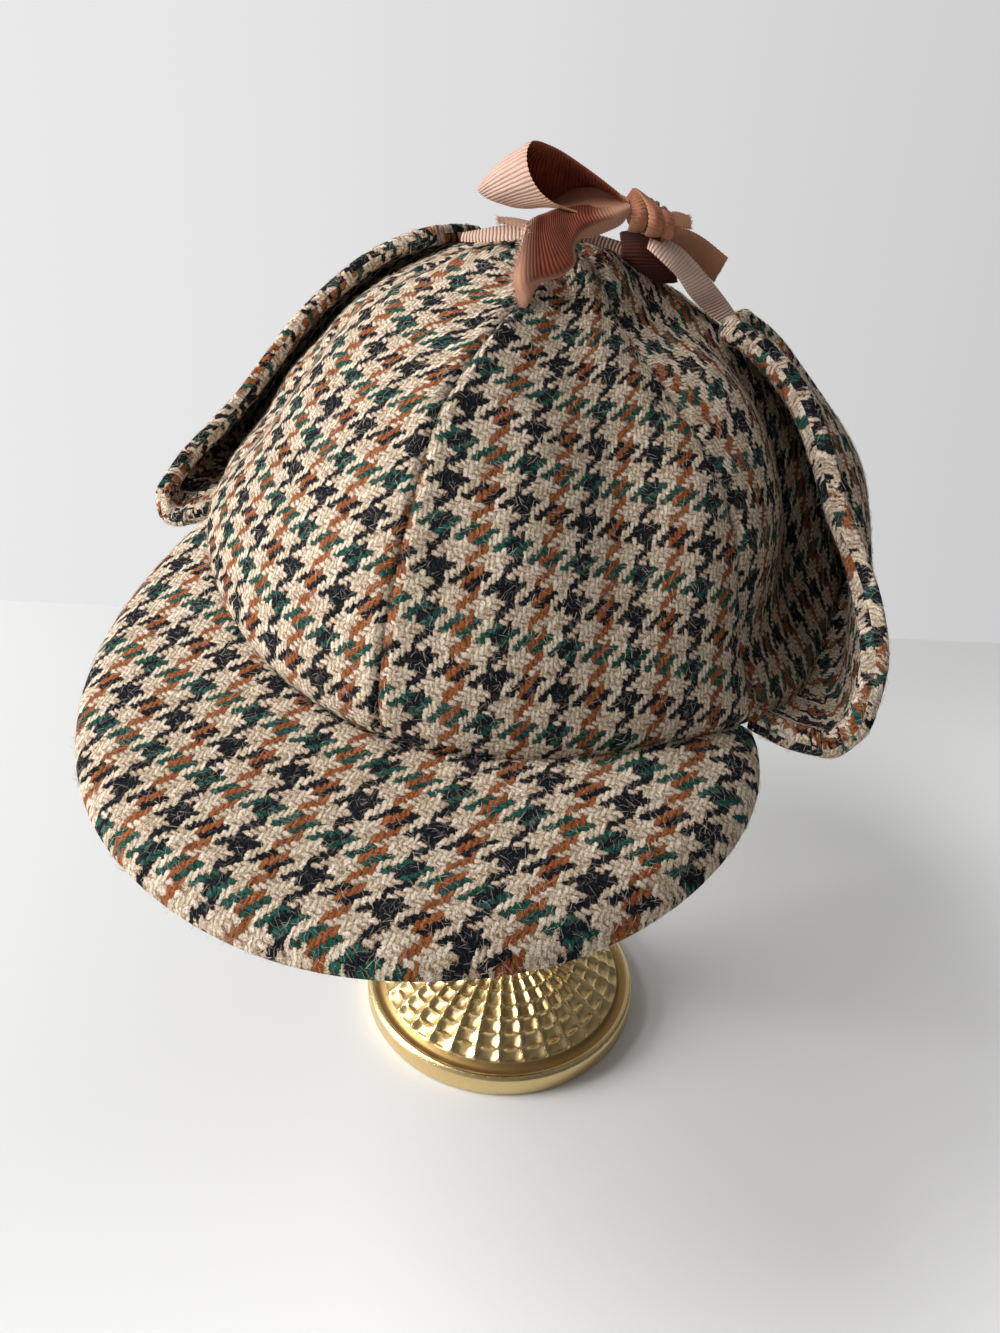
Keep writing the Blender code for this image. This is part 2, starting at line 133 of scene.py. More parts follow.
PEAK_HALF_SPAN = radians(57)
PEAK_DEPTH = 0.0428
PEAK_FULLNESS = 0.66
PEAK_GAP = 0.0003
PEAK_TUCK = 0.0045
PEAK_SKEW = 0.09
PEAK_SLOPE_MIDDLE = radians(17.5)
PEAK_SLOPE_SIDE = radians(29.6)
PEAK_THICKNESS = 0.0036
PEAK_EDGE_THICKNESS = 0.0030
PEAK_MARGIN = 0.0085
PEAK_TURN_DOWN = 0.0030
PEAK_CORNER_WIDTH = 0.0010
PEAK_COLUMNS = 110
PEAK_ROWS = 34

FLAP_THICKNESS = 0.0024
FLAP_LEFT_BORDER = 0.0056
FLAP_RIGHT_BORDER = 0.0044
FLAP_BORDER_WIDTH = 0.0030
FLAP_TIP_ROLL = 0.0013
FLAP_COLUMNS = 40
FLAP_ROWS = 90
FLAP_EDGE_STEPS = 8
FLAP_STEPS = 6
FLAP_SMOOTHING = 60
FLAT_STRIDES = (18, 9, 4, 2)
FLAT_ROUNDS = 60
FLAP_INNER_START = (5.0, 9.0)
# Each row of a flap: turn and lift in degrees, drop below the rim and distance out from the crown in mm
FLAP_LEFT = {
    "front": (
        (57.8, 0, 3.2, -3.0), (58.4, 0, 4.4, 5.0), (60.0, 0, 4.9, 10.7), (62.0, 0, 5.3, 14.4),
        (64.0, 0, 1.5, 17.2), (66.0, 4.7, 0, 18.6), (69.0, 10.5, 0, 19.0), (72.0, 16.1, 0, 16.4),
        (75.0, 21.5, 0, 13.0), (79.0, 27.3, 0, 9.6), (83.5, 33.2, 0, 9.4), (86.8, 39.5, 0, 9.8),
        (89.5, 46.2, 0, 9.6), (90.0, 53.0, 0, 8.4),
    ),
    "middle": (
        (90.0, 0, 3.6, -8.0), (90.0, 0, 4.8, -4.0), (90.0, 0, 4.4, 0.4), (90.0, 0, 0.8, 1.6),
        (91.0, 4.5, 0, 1.4), (92.0, 9.5, 0, 1.8), (93.0, 14.5, 0, 3.8), (94.0, 20.0, 0, 6.8),
        (95.0, 25.5, 0, 8.7), (96.5, 31.5, 0, 8.9), (98.5, 37.5, 0, 8.2), (99.0, 43.5, 0, 7.2),
        (98.5, 49.5, 0, 6.0), (96.0, 55.0, 0, 5.0),
    ),
    "back": (
        (121.5, 0, 3.4, -6.5), (122.0, 0, 4.2, -1.5), (121.5, 0, 3.6, 3.6), (121.0, 0, 0.2, 6.4),
        (120.5, 4.5, 0, 6.2), (120.0, 8.5, 0, 5.6), (119.0, 13.0, 0, 5.2), (118.0, 18.0, 0, 5.2),
        (117.0, 23.0, 0, 5.6), (115.0, 29.0, 0, 5.4), (113.0, 35.5, 0, 5.6), (111.0, 42.0, 0, 6.2),
        (108.0, 48.0, 0, 7.4), (104.0, 53.0, 0, 7.6),
    ),
}
FLAP_RIGHT = {
    "front": (
        (57.4, 0, 3.2, -3.5), (58.0, 0, 5.6, 4.5), (59.5, 0, 8.0, 10.0), (60.5, 0, 6.0, 14.5),
        (62.5, 0, 0.5, 15.4), (64.5, 5.7, 0, 11.4), (66.2, 14.5, 0, 6.2), (69.0, 23.0, 0, 3.4),
        (71.0, 32.7, 0, 3.0), (73.0, 41.0, 0, 4.4), (75.0, 48.0, 0, 5.9), (77.0, 54.5, 0, 7.0),
        (80.0, 61.0, 0, 6.6), (85.0, 66.5, 0, 5.8),
    ),
    "middle": (
        (90.0, 0, 3.2, -3.5), (90.0, 0, 4.0, 2.0), (90.0, 0, 2.2, 6.6), (90.0, 1.0, 0, 8.4),
        (91.0, 5.0, 0, 8.8), (92.0, 9.5, 0, 7.8), (93.0, 16.0, 0, 6.2), (94.0, 24.0, 0, 5.2),
        (95.0, 33.0, 0, 5.0), (96.0, 41.0, 0, 5.6), (97.0, 48.0, 0, 6.2), (98.5, 55.5, 0, 6.8),
        (99.5, 62.0, 0, 6.4), (102.0, 67.5, 0, 5.8),
    ),
    "back": (
        (121.5, 0, 3.2, -3.5), (122.0, 0, 4.0, 2.0), (121.5, 0, 2.2, 6.6), (121.0, 1.0, 0, 8.4),
        (120.5, 4.5, 0, 8.6), (120.0, 9.0, 0, 8.0), (119.5, 16.0, 0, 7.0), (119.0, 24.0, 0, 6.5),
        (118.0, 32.0, 0, 6.5), (117.5, 40.0, 0, 6.5), (117.0, 47.0, 0, 6.5), (117.5, 54.0, 0, 6.6),
        (119.0, 60.0, 0, 6.4), (120.0, 65.5, 0, 5.8),
    ),
}

# Ribbon: each row holds points across it, from one selvedge to the other, in mm from the origin
RIBBON_ROW_SPACING = 0.000215
RIBBON_STEPS = 8
RIBBON_THICKNESS = 0.0006
RIB_PITCH = 0.00086
SCALLOP = 0.00022
SELVEDGE_REACH = 0.00045
TIE_LEFT = (
    ((23.4, 0.4, 246.6), (24.2, -2.6, 245.6), (24.3, -3.7, 244.5)),
    ((25.8, 3.2, 246.1), (26.6, -1.9, 245.0), (26.2, -4.2, 243.5)),
    ((29.0, 6.2, 244.3), (29.6, -0.1, 243.0), (29.3, -3.5, 241.2)),
    ((32.7, 9.1, 240.8), (32.5, 2.7, 239.7), (31.7, -1.9, 238.8)),
    ((36.6, 12.1, 236.5), (35.9, 5.5, 235.9), (34.5, -0.2, 235.1)),
    ((39.4, 15.8, 232.6), (38.8, 9.2, 232.0), (37.7, 3.6, 231.5)),
    ((41.8, 18.3, 229.2), (42.0, 12.0, 229.0), (41.8, 6.7, 228.6)),
)
TIE_RIGHT = (
    ((23.4, -0.7, 245.8), (22.6, -3.2, 244.2), (22.1, -3.6, 242.4)),
    ((18.3, 0.7, 244.6), (18.2, -1.6, 243.0), (18.6, -2.7, 241.2)),
    ((11.9, 0.9, 245.4), (12.4, -2.2, 244.3), (12.6, -3.4, 243.2)),
    ((5.8, -0.9, 246.3), (6.8, -4.9, 245.6), (7.6, -7.9, 244.8)),
    ((-0.4, -3.9, 246.8), (1.7, -8.6, 246.0), (3.0, -12.5, 244.9)),
    ((-6.0, -6.7, 246.8), (-3.8, -11.3, 245.8), (-2.4, -14.2, 244.6)),
    ((-11.0, -8.3, 246.0), (-8.7, -13.0, 245.0), (-7.9, -14.9, 243.7)),
    ((-14.7, -9.5, 245.0), (-13.1, -13.3, 244.2), (-12.1, -15.2, 243.2)),
    ((-18.0, -10.6, 244.2), (-17.3, -12.6, 243.5), (-16.1, -15.4, 243.0)),
)
BOW_LOOP = (
    ((18.8, -3.6, 253.1), (18.4, -1.7, 252.4), (18.1, 0.2, 251.7)),
    ((16.3, -5.3, 255.4), (15.1, -0.6, 253.3), (14.8, 2.3, 251.3)),
    ((13.0, -7.1, 257.8), (10.6, 0.3, 254.5), (10.0, 2.9, 251.0)),
    ((8.9, -9.2, 260.4), (5.8, -1.1, 256.7), (4.6, 2.3, 250.8)),
    ((5.3, -11.2, 262.5), (1.5, -3.3, 258.4), (0.5, -2.2, 251.0)),
    ((2.5, -13.0, 263.7), (-2.1, -6.4, 259.3), (-4.2, -4.7, 251.1)),
    ((0.9, -14.6, 264.2), (-6.4, -8.8, 259.6), (-8.7, -7.0, 252.1)),
    ((0.1, -15.9, 264.0), (-7.7, -12.3, 260.0), (-14.2, -8.5, 254.8)),
    ((-0.2, -17.1, 262.6), (-8.0, -13.6, 258.8), (-14.8, -9.8, 254.0)),
    ((0.2, -18.2, 261.0), (-7.6, -14.7, 257.3), (-14.5, -10.8, 253.5)),
    ((1.2, -19.1, 258.8), (-6.6, -15.0, 255.6), (-13.8, -10.7, 252.7)),
    ((2.6, -19.4, 256.7), (-5.0, -15.2, 254.2), (-12.2, -10.3, 251.8)),
    ((4.4, -19.0, 254.7), (-3.4, -13.7, 252.8), (-9.7, -8.5, 250.9)),
    ((6.6, -17.9, 253.1), (-1.0, -12.0, 251.6), (-7.2, -5.7, 250.3)),
    ((9.0, -16.2, 252.0), (1.8, -9.1, 251.4), (-4.1, -2.6, 250.4)),
    ((11.4, -14.5, 251.1), (4.4, -7.2, 251.9), (-0.9, -0.4, 252.0)),
    ((14.0, -12.7, 250.5), (7.9, -6.0, 252.6), (3.4, 0.1, 254.4)),
    ((15.9, -10.0, 250.9), (11.7, -4.8, 253.2), (8.4, -0.4, 255.4)),
    ((17.7, -7.3, 251.6), (15.0, -3.7, 253.4), (13.1, -1.0, 255.2)),
    ((19.1, -4.6, 252.6), (18.6, -2.6, 253.3), (17.9, -0.7, 253.7)),
)
BOW_TAIL_FRONT = (
    ((18.8, -3.6, 252.9), (19.4, -4.5, 252.6), (19.9, -5.4, 252.3), (20.2, -5.4, 251.7)),
    ((15.1, -3.7, 252.6), (17.0, -7.4, 252.0), (18.7, -10.1, 251.3), (19.8, -9.9, 249.4)),
    ((12.1, -5.8, 252.3), (14.2, -10.4, 251.3), (16.4, -14.1, 250.4), (17.8, -12.8, 248.0)),
    ((9.5, -8.7, 252.2), (11.7, -14.5, 250.8), (14.3, -18.0, 249.1), (15.5, -15.7, 246.8)),
    ((8.1, -12.3, 251.9), (10.8, -17.9, 249.9), (13.8, -21.4, 247.7), (14.4, -19.2, 246.6)),
    ((7.3, -14.7, 251.8), (10.4, -21.3, 249.1), (14.2, -24.6, 245.5), (14.2, -22.5, 245.3)),
    ((6.8, -18.0, 251.5), (10.1, -24.6, 248.0), (15.6, -27.6, 243.0), (15.8, -25.4, 242.8)),
    ((6.2, -20.3, 251.0), (9.6, -27.0, 247.0), (14.3, -31.2, 241.5), (14.5, -29.2, 240.3)),
    ((5.8, -23.6, 250.6), (8.5, -29.5, 245.9), (11.4, -34.3, 240.7), (11.8, -33.3, 239.1)),
    ((5.3, -26.0, 249.9), (7.4, -32.0, 245.3), (9.6, -37.0, 240.2), (11.7, -37.7, 236.7)),
    ((5.4, -28.1, 249.3), (6.7, -33.3, 244.7), (7.7, -38.0, 239.3), (11.1, -39.9, 233.9)),
)
TAIL_CORNER = (
    ((5.1, -26.0, 249.7), (5.6, -27.2, 248.8), (5.9, -28.1, 248.0)),
    ((2.5, -27.9, 250.2), (2.8, -28.5, 249.5), (3.0, -28.9, 248.8)),
    ((-0.3, -29.8, 250.3), (0.0, -29.9, 249.8), (0.2, -29.7, 249.2)),
)
BOW_TAIL_SIDE = (
    ((24.9, 3.2, 249.4), (24.6, 5.1, 247.8), (24.5, 6.0, 245.8)),
    ((27.5, 6.1, 248.4), (26.7, 8.8, 246.2), (26.8, 10.7, 243.7)),
    ((30.1, 8.9, 247.6), (29.1, 12.5, 244.2), (29.5, 14.4, 240.8)),
    ((33.5, 10.9, 245.9), (32.2, 15.4, 241.9), (32.3, 17.2, 238.2)),
    ((38.7, 13.2, 242.3), (36.7, 16.5, 239.1), (34.9, 18.9, 236.0)),
)
KNOT_END = (
    ((24.4, 4.3, 250.9), (24.9, 4.5, 249.8), (25.2, 4.3, 248.5)),
    ((26.7, 7.1, 251.4), (27.9, 6.9, 249.9), (28.6, 6.4, 248.3)),
    ((29.4, 8.9, 250.7), (30.0, 8.6, 249.4), (30.3, 7.9, 248.1)),
)
WRAP_LEFT = (
    ((16.7, 1.6, 253.7), (17.6, 0.9, 254.8), (17.8, 2.1, 255.8)),
    ((18.3, -1.6, 253.3), (19.6, -2.2, 254.1), (20.2, -0.9, 254.8)),
    ((19.6, -3.4, 252.2), (21.3, -3.9, 252.8), (22.3, -2.5, 253.2)),
    ((20.2, -4.4, 251.0), (22.2, -4.8, 251.3), (23.5, -3.3, 251.5)),
    ((20.2, -4.5, 249.7), (22.2, -4.9, 249.8), (23.6, -3.5, 249.7)),
    ((19.5, -3.3, 248.5), (21.5, -3.7, 248.4), (22.8, -2.3, 248.2)),
    ((18.4, -0.6, 247.4), (20.2, -1.0, 247.3), (21.5, 0.4, 247.1)),
)
WRAP_MIDDLE = (
    ((18.1, 1.7, 255.8), (19.9, 1.3, 255.0), (21.0, 2.9, 254.0)),
    ((20.6, -1.3, 254.8), (22.4, -1.3, 254.0), (23.7, 0.5, 253.1)),
    ((22.8, -3.4, 253.3), (24.6, -3.4, 252.7), (25.7, -1.5, 252.1)),
    ((23.9, -4.2, 251.6), (25.6, -4.3, 251.2), (26.6, -2.4, 250.6)),
    ((24.2, -4.3, 249.8), (25.8, -4.4, 249.5), (26.8, -2.5, 249.1)),
    ((23.6, -3.1, 248.0), (25.2, -3.1, 247.8), (26.2, -1.3, 247.4)),
    ((22.4, -0.4, 246.7), (24.0, -0.5, 246.5), (25.0, 1.4, 246.2)),
)
WRAP_RIGHT = (
    ((24.6, 2.3, 252.3), (25.6, 2.0, 252.0), (26.1, 3.3, 251.6)),
    ((25.7, 0.0, 251.7), (26.9, 0.0, 251.4), (27.7, 1.6, 251.0)),
    ((26.4, -1.5, 250.6), (27.7, -1.4, 250.3), (28.6, 0.2, 249.9)),
    ((26.5, -1.5, 249.3), (27.8, -1.5, 248.8), (28.7, 0.1, 248.3)),
    ((26.2, -0.7, 247.8), (27.5, -0.7, 247.4), (28.4, 0.9, 246.8)),
    ((25.3, 1.0, 246.8), (26.6, 0.8, 246.5), (27.5, 2.2, 246.0)),
)
WRAP_UNDER = (
    ((16.3, 0.3, 246.6), (19.6, 0.1, 247.2), (24.5, 1.8, 247.2)),
    ((17.7, -2.5, 245.0), (21.6, -2.9, 245.6), (26.6, -0.6, 245.6)),
    ((18.6, -3.5, 242.7), (23.0, -3.6, 243.2), (28.4, -0.4, 243.2)),
    ((19.0, -2.5, 240.0), (23.8, -2.2, 240.3), (29.6, 1.2, 240.6)),
    ((18.8, 1.0, 236.6), (23.6, 1.4, 236.6), (29.9, 4.4, 237.0)),
)
# Where the smooth paler side of a ribbon shows: along its rows or its columns, from one share to another
PALE_ROWS, PALE_COLUMNS = 0, 1
ALL_PALE = ((PALE_ROWS, -1.0, 0.0),)
HALF_PALE = ((PALE_ROWS, -1.0, 1.5),)
PALE_ARM = ((PALE_ROWS, 0.60, 0.72), (PALE_ROWS, 0.05, 0.0))
PALE_FOLD = ((PALE_ROWS, 0.86, 0.98), (PALE_ROWS, 0.30, 0.12), (PALE_COLUMNS, 0.68, 0.80))
# The one ribbon in lit and shaded copies, painted lighter or darker by its place to stand in for light and
# shade: deep and light tone, paler side, and how dark the painted shade in its rib grooves is
PINK, BACK_SIDE_AND_SHADE, BACK_IN_PAINTED_SHADE = "dusty_pink_grosgrain", "grosgrain_back_and_painted_shade", "back_grosgrain_in_painted_shade"
SUNLIT, SHADED = "sunlit_grosgrain", "shaded_grosgrain"
KNOT_PAINTED_SHADE, DEEPEST_PAINTED_SHADE = "painted_shade_knot_grosgrain", "deepest_painted_shade_grosgrain"
GROSGRAINS = {
    PINK: ((0.44, 0.285, 0.225), (0.52, 0.365, 0.295), (0.53, 0.32, 0.23), 0.34),
    # The back's own darker tone, deepened further as painted shade for the inside of the loop
    BACK_SIDE_AND_SHADE: ((0.28, 0.052, 0.025), (0.40, 0.090, 0.045), (0.50, 0.24, 0.14), 0.40),
    # The back in painted shade
    BACK_IN_PAINTED_SHADE: ((0.17, 0.036, 0.018), (0.25, 0.060, 0.030), (0.50, 0.25, 0.16), 0.40),
    # Painted light: a lit copy for the tie in full light
    SUNLIT: ((0.79, 0.53, 0.42), (0.88, 0.62, 0.51), (0.88, 0.60, 0.49), 0.30),
    # Painted shade: a shaded copy
    SHADED: ((0.44, 0.25, 0.19), (0.54, 0.34, 0.265), (0.60, 0.42, 0.32), 0.36),
    # Painted shade on the knot and its wraps
    KNOT_PAINTED_SHADE: ((0.27, 0.150, 0.112), (0.35, 0.21, 0.16), (0.40, 0.27, 0.20), 0.40),
    # Near-black painted shade under the knot
    DEEPEST_PAINTED_SHADE: ((0.055, 0.016, 0.010), (0.10, 0.030, 0.020), (0.14, 0.055, 0.040), 0.45),
}
# Each stretch: its node, rows, finish of each side, the side its face looks to, and where it is paler
RIBBONS = {
    "tie_left_ribbon": ("tie_left", TIE_LEFT, SUNLIT, BACK_SIDE_AND_SHADE, 1, ()),
    "tie_right_ribbon": ("tie_right", TIE_RIGHT, PINK, BACK_SIDE_AND_SHADE, -1, ()),
    "bow_loop_ribbon": ("bow_loop", BOW_LOOP, PINK, BACK_SIDE_AND_SHADE, 1, PALE_ARM),
    "tail_front_ribbon": ("bow_tail_front", BOW_TAIL_FRONT, PINK, BACK_IN_PAINTED_SHADE, 1, PALE_FOLD),
    "tail_front_corner": ("bow_tail_front", TAIL_CORNER, PINK, BACK_SIDE_AND_SHADE, -1, ALL_PALE),
    "tail_side_ribbon": ("bow_tail_side", BOW_TAIL_SIDE, BACK_SIDE_AND_SHADE, SHADED, 1, ALL_PALE),
    "knot_end_ribbon": ("bow_knot", KNOT_END, BACK_SIDE_AND_SHADE, SHADED, 1, ALL_PALE),
    "knot_wrap_left": ("bow_knot", WRAP_LEFT, KNOT_PAINTED_SHADE, BACK_SIDE_AND_SHADE, 1, HALF_PALE),
    "knot_wrap_middle": ("bow_knot", WRAP_MIDDLE, KNOT_PAINTED_SHADE, BACK_SIDE_AND_SHADE, 1, HALF_PALE),
    "knot_wrap_right": ("bow_knot", WRAP_RIGHT, KNOT_PAINTED_SHADE, BACK_SIDE_AND_SHADE, 1, HALF_PALE),
    "knot_wrap_under": ("bow_knot", WRAP_UNDER, DEEPEST_PAINTED_SHADE, DEEPEST_PAINTED_SHADE, 1, ()),
}
KNOT_WRAPS = ["knot_wrap_left", "knot_wrap_middle", "knot_wrap_right"]
# Sheets: how each is held, what it rests on, and the pieces that go with it
SHEETS = {
    "tie_left_ribbon": ("stretched", ["ear_flap_left", "bow_knot"], []),
    "tie_right_ribbon": ("stretched", ["ear_flap_right", "bow_knot"], []),
    "bow_loop_ribbon": ("folded", ["bow_knot"], [*KNOT_WRAPS, "bow_knot_wraps"]),
    "tail_front_ribbon": (
        "draped", ["bow_knot", "crown_gore_front_left"], ["tail_front_corner", "frayed_ends"],
    ),
    "tail_side_ribbon": ("draped", ["bow_knot"], ["knot_end_ribbon", "knot_wrap_under"]),
}
# The least width and length that ribbon() gives for a sheet
LEAST_SHEET = 0.01
KNOT_CENTRE = np.array((0.0224, 0.0018, 0.2498))
KNOT_AXIS = Vector((0.80, 0.40, -0.44))
KNOT_HALF_LENGTH = 0.0054
KNOT_RADIUS = 0.0040
# Where along the knot its gathers lie, from -1 to 1, and how deep and how wide they are
KNOT_GATHERS = ((-0.62, 0.05, 0.07), (-0.22, 0.07, 0.07), (0.12, 0.20, 0.07), (0.52, 0.08, 0.07))
KNOT_RIBS = 38
KNOT_STEPS_ROUND = 96
KNOT_STEPS_ALONG = 60
THREAD_RADIUS = 0.00007
THREE_CORNERS = (0, 2 * pi / 3, 4 * pi / 3)
# Each cut end of ribbon: its table, how many loose threads it has and how far they reach
CUT_ENDS = (
    (BOW_TAIL_FRONT, 260, 0.0020),
    (TAIL_CORNER, 60, 0.0014),
    (BOW_TAIL_SIDE, 60, 0.0008),
    (KNOT_END, 70, 0.0012),
)

# Loose wool: how many fibres a square metre, their length and thickness, and how many kinds there are
WOOL_DENSITY = 700000.0
WOOL_LENGTH = 0.0023
WOOL_THICKNESS = 0.00005
WOOL_INPUTS = (
    ("Density", "NodeSocketFloat", WOOL_DENSITY),
    ("Length", "NodeSocketFloat", WOOL_LENGTH),
    ("Seed", "NodeSocketInt", 1),
)
WOOL_KINDS = 7
WOOL_RINGS = 3

# Brass stand: radius and height of each turn of the profile, and how many cells its disc has
STAND_PROFILE = (
    (0.0, 0.0), (44.5, 0.0), (45.6, 0.5), (46.0, 1.5), (46.0, 6.0), (45.7, 7.0), (44.8, 7.8),
    (44.2, 7.9), (43.6, 7.6), (42.9, 7.3), (42.0, 7.2), (41.2, 7.6), (40.6, 8.5),
)
DISC_PROFILE = (
    (40.6, 8.5), (37.5, 10.9), (33.0, 13.8), (27.0, 16.6), (19.0, 19.0), (12.5, 20.6),
)
COLUMN_PROFILE = (
    (12.5, 20.6), (10.2, 21.8), (8.6, 24.0), (7.5, 27.0), (6.8, 31.0), (6.2, 38.0), (6.0, 45.0),
    (6.0, 205.0), (7.0, 209.0), (9.0, 211.0), (12.0, 213.0), (15.0, 218.0), (16.0, 223.5),
    (15.0, 229.0), (11.0, 234.0), (5.0, 237.2), (0.0, 238.0),
)
# The last rows of the foot lie in the groove round the disc, painted dark as tarnish and painted shade
FOOT_GROOVE_ROWS = 5
DISC_RIBS = 32
DISC_RINGS = 7
RIB_TURN = radians(1.9)
RIB_HALF_WIDTH = 1.25
RING_HALF_WIDTH = 0.55
RIB_HEIGHT = 0.80
RING_HEIGHT = 0.45
SCOOP_DEPTH = 0.55
CELL_COLUMNS = 12
CELL_ROWS = 10

CAMERA_PLACE = Vector((0.0958, -0.2340, 0.2710))
CAMERA_TURN = radians(23.7)
CAMERA_DIP = radians(29.41)
CAMERA_ROLL = radians(3.38)
FRAME_HEIGHT = 1333
FOCAL_PIXELS = 1000
SENSOR = 36.0

# Two places on the table's back edge, how far it goes on beyond them, and its depth
TABLE_EDGE_LEFT = Vector((-0.387, 0.127, 0))
TABLE_EDGE_RIGHT = Vector((0.154, 0.388, 0))
TABLE_BEYOND = 3
TABLE_DEPTH = 6

# Light: how bright the wall and the rest of the room are, and the windows
WALL_LEFT = 0.86
WALL_RIGHT = 0.56
BEYOND_RIGHT = 0.15
ROOM_LEFT = 0.50
ROOM_RIGHT = 0.10
CEILING = 0.22
WINDOW_COLUMNS = ("turn_deg", "lift_deg", "power")
WINDOWS = ((214, 14, 34.0), (210, 54, 17.0))
WINDOW_DISTANCE = 1.6
WINDOW_SIZE = 0.9
AIM = Vector((0, 0, 0.15))


# Materials

class Value:
    """One number or colour of a surface, so that sums of values read as sums."""

    def __init__(self, tree, socket):
        self.tree = tree
        self.socket = socket

    def __add__(self, other):
        return self.tree.sum("ADD", self, other)

    __radd__ = __add__

    def __sub__(self, other):
        return self.tree.sum("SUBTRACT", self, other)

    def __rsub__(self, other):
        return self.tree.sum("SUBTRACT", other, self)

    def __mul__(self, other):
        return self.tree.sum("MULTIPLY", self, other)

    __rmul__ = __mul__

    def __truediv__(self, other):
        return self.tree.sum("DIVIDE", self, other)

    def __pow__(self, other):
        return self.tree.sum("POWER", self, other)

    def __mod__(self, other):
        return self.tree.sum("FLOORED_MODULO", self, other)

    def __gt__(self, other):
        return self.tree.sum("GREATER_THAN", self, other)


class Nodes:
    """A tree of nodes, built by sums of values and by naming its nodes."""

    def __init__(self, tree):
        self.tree = tree

    def node(self, kind, settings=None, inputs=None, output=0):
        made = self.tree.nodes.new(kind)
        for name, value in (settings or {}).items():
            setattr(made, name, value)
        self.feed(made, inputs or {})
        return Value(self, made.outputs[output])

    def feed(self, made, inputs):
        """Links or sets the inputs of a node."""
        for key, value in inputs.items():
            if isinstance(value, Value):
                self.tree.links.new(value.socket, made.inputs[key])
            else:
                made.inputs[key].default_value = value

    def other(self, value, output):
        """Another output of the node that a value comes from."""
        return Value(self, value.socket.node.outputs[output])

    def stripes(self, share, colours):
        """Flat bands of colour, each as wide as the next."""
        made = self.node("ShaderNodeValToRGB", None, {0: share})
        ramp = made.socket.node.color_ramp
        ramp.interpolation = "CONSTANT"
        while len(ramp.elements) < len(colours):
            ramp.elements.new(1.0)
        for number, (element, colour) in enumerate(zip(ramp.elements, colours)):
            element.position = number / len(colours)
            element.color = (*colour, 1.0)
        return made

    def sum(self, operation, *values, clamp=False):
        settings = {"operation": operation, "use_clamp": clamp}
        return self.node("ShaderNodeMath", settings, dict(enumerate(values)))

    def floor(self, value):
        return self.sum("FLOOR", value)

    def root(self, value):
        return self.sum("SQRT", value)

    def clamp(self, value):
        return self.sum("ADD", value, 0.0, clamp=True)

    def size(self, value):
        return self.sum("ABSOLUTE", value)

    def wave(self, value):
        return self.sum("SINE", value)

    def step(self, value, low, high, start=0.0, end=1.0):
        settings = {"interpolation_type": "SMOOTHSTEP"}
        return self.node("ShaderNodeMapRange", settings, {0: value, 1: low, 2: high, 3: start, 4: end})

    def point(self, x, y, z=0.0):
        return self.node("ShaderNodeCombineXYZ", None, {0: x, 1: y, 2: z})

    def split(self, vector):
        first = self.node("ShaderNodeSeparateXYZ", None, {0: vector})
        return [self.other(first, axis) for axis in range(3)]

    def noise(self, vector, scale, detail=2.0, roughness=0.5, output=0):
        inputs = {"Vector": vector, "Scale": scale, "Detail": detail, "Roughness": roughness}
        return self.node("ShaderNodeTexNoise", None, inputs, output)

    def chance(self, vector, output=0):
        return self.node("ShaderNodeTexWhiteNoise", None, {"Vector": vector}, output)

    def mix(self, share, first, second, blend="MIX"):
        first = (*first, 1.0) if isinstance(first, tuple) else first
        second = (*second, 1.0) if isinstance(second, tuple) else second
        settings = {"data_type": "RGBA", "blend_type": blend}
        return self.node("ShaderNodeMix", settings, {0: share, 6: first, 7: second}, 2)

    def blend(self, share, first, second):
        return first + (second - first) * share

    def here(self):
        return self.node("ShaderNodeTexCoord", output=3)

    def uv(self, name):
        return self.node("ShaderNodeUVMap", {"uv_map": name})

    def mark(self, name):
        return self.node("ShaderNodeAttribute", {"attribute_name": name}, output=2)

    def bump(self, height, distance, strength=1.0):
        inputs = {"Height": height, "Distance": distance, "Strength": strength}
        return self.node("ShaderNodeBump", None, inputs)


class Finish(Nodes):
    """A material of its own, built from nodes."""

    def __init__(self, name):
        self.material = bpy.data.materials.new(name)
        self.material.use_nodes = True
        super().__init__(self.material.node_tree)

    def finish(self, colour, roughness, normal=None, specular=0.5, sheen=(0.0, 0.5), metallic=0.0):
        """The material. Its sheen has a weight and a roughness."""
        inputs = {"Base Color": colour, "Roughness": roughness, "Metallic": metallic}
        inputs["Specular IOR Level"] = specular
        inputs["Sheen Weight"], inputs["Sheen Roughness"] = sheen
        if normal:
            inputs["Normal"] = normal
        self.feed(self.tree.nodes["Principled BSDF"], inputs)
        return self.material


WARP_CREAM = (0.80, 0.66, 0.50)
WEFT_CREAM = (0.74, 0.59, 0.455)
INK = (0.012, 0.014, 0.020)
RUST = (0.33, 0.100, 0.032)
PINE = (0.018, 0.088, 0.070)
HAIR = (0.58, 0.52, 0.44)
# The bands of the check along the warp and the weft
ENDS = (INK, WARP_CREAM, RUST, WARP_CREAM)
PICKS = (INK, WEFT_CREAM, PINE, WEFT_CREAM)
# Yarns in one repeat of the twill and of the check
TWILL = 4.0
CHECK = 16.0
# How much higher the warp lies than the weft
WARP_PROUD = 0.14
# Unevenness of the yarns: size of its waves in 1/m, and how far it moves a yarn, in yarns
DRIFTS = ((35.0, 2.2), (120.0, 1.3), (520.0, 1.0), (1500.0, 0.9), (4200.0, 0.7))
# Stray hairs lying on the cloth: their direction in degrees and their own place in the noise
HAIR_LAYERS = ((20, 3.0), (75, 17.0), (130, 41.0), (165, 88.0))


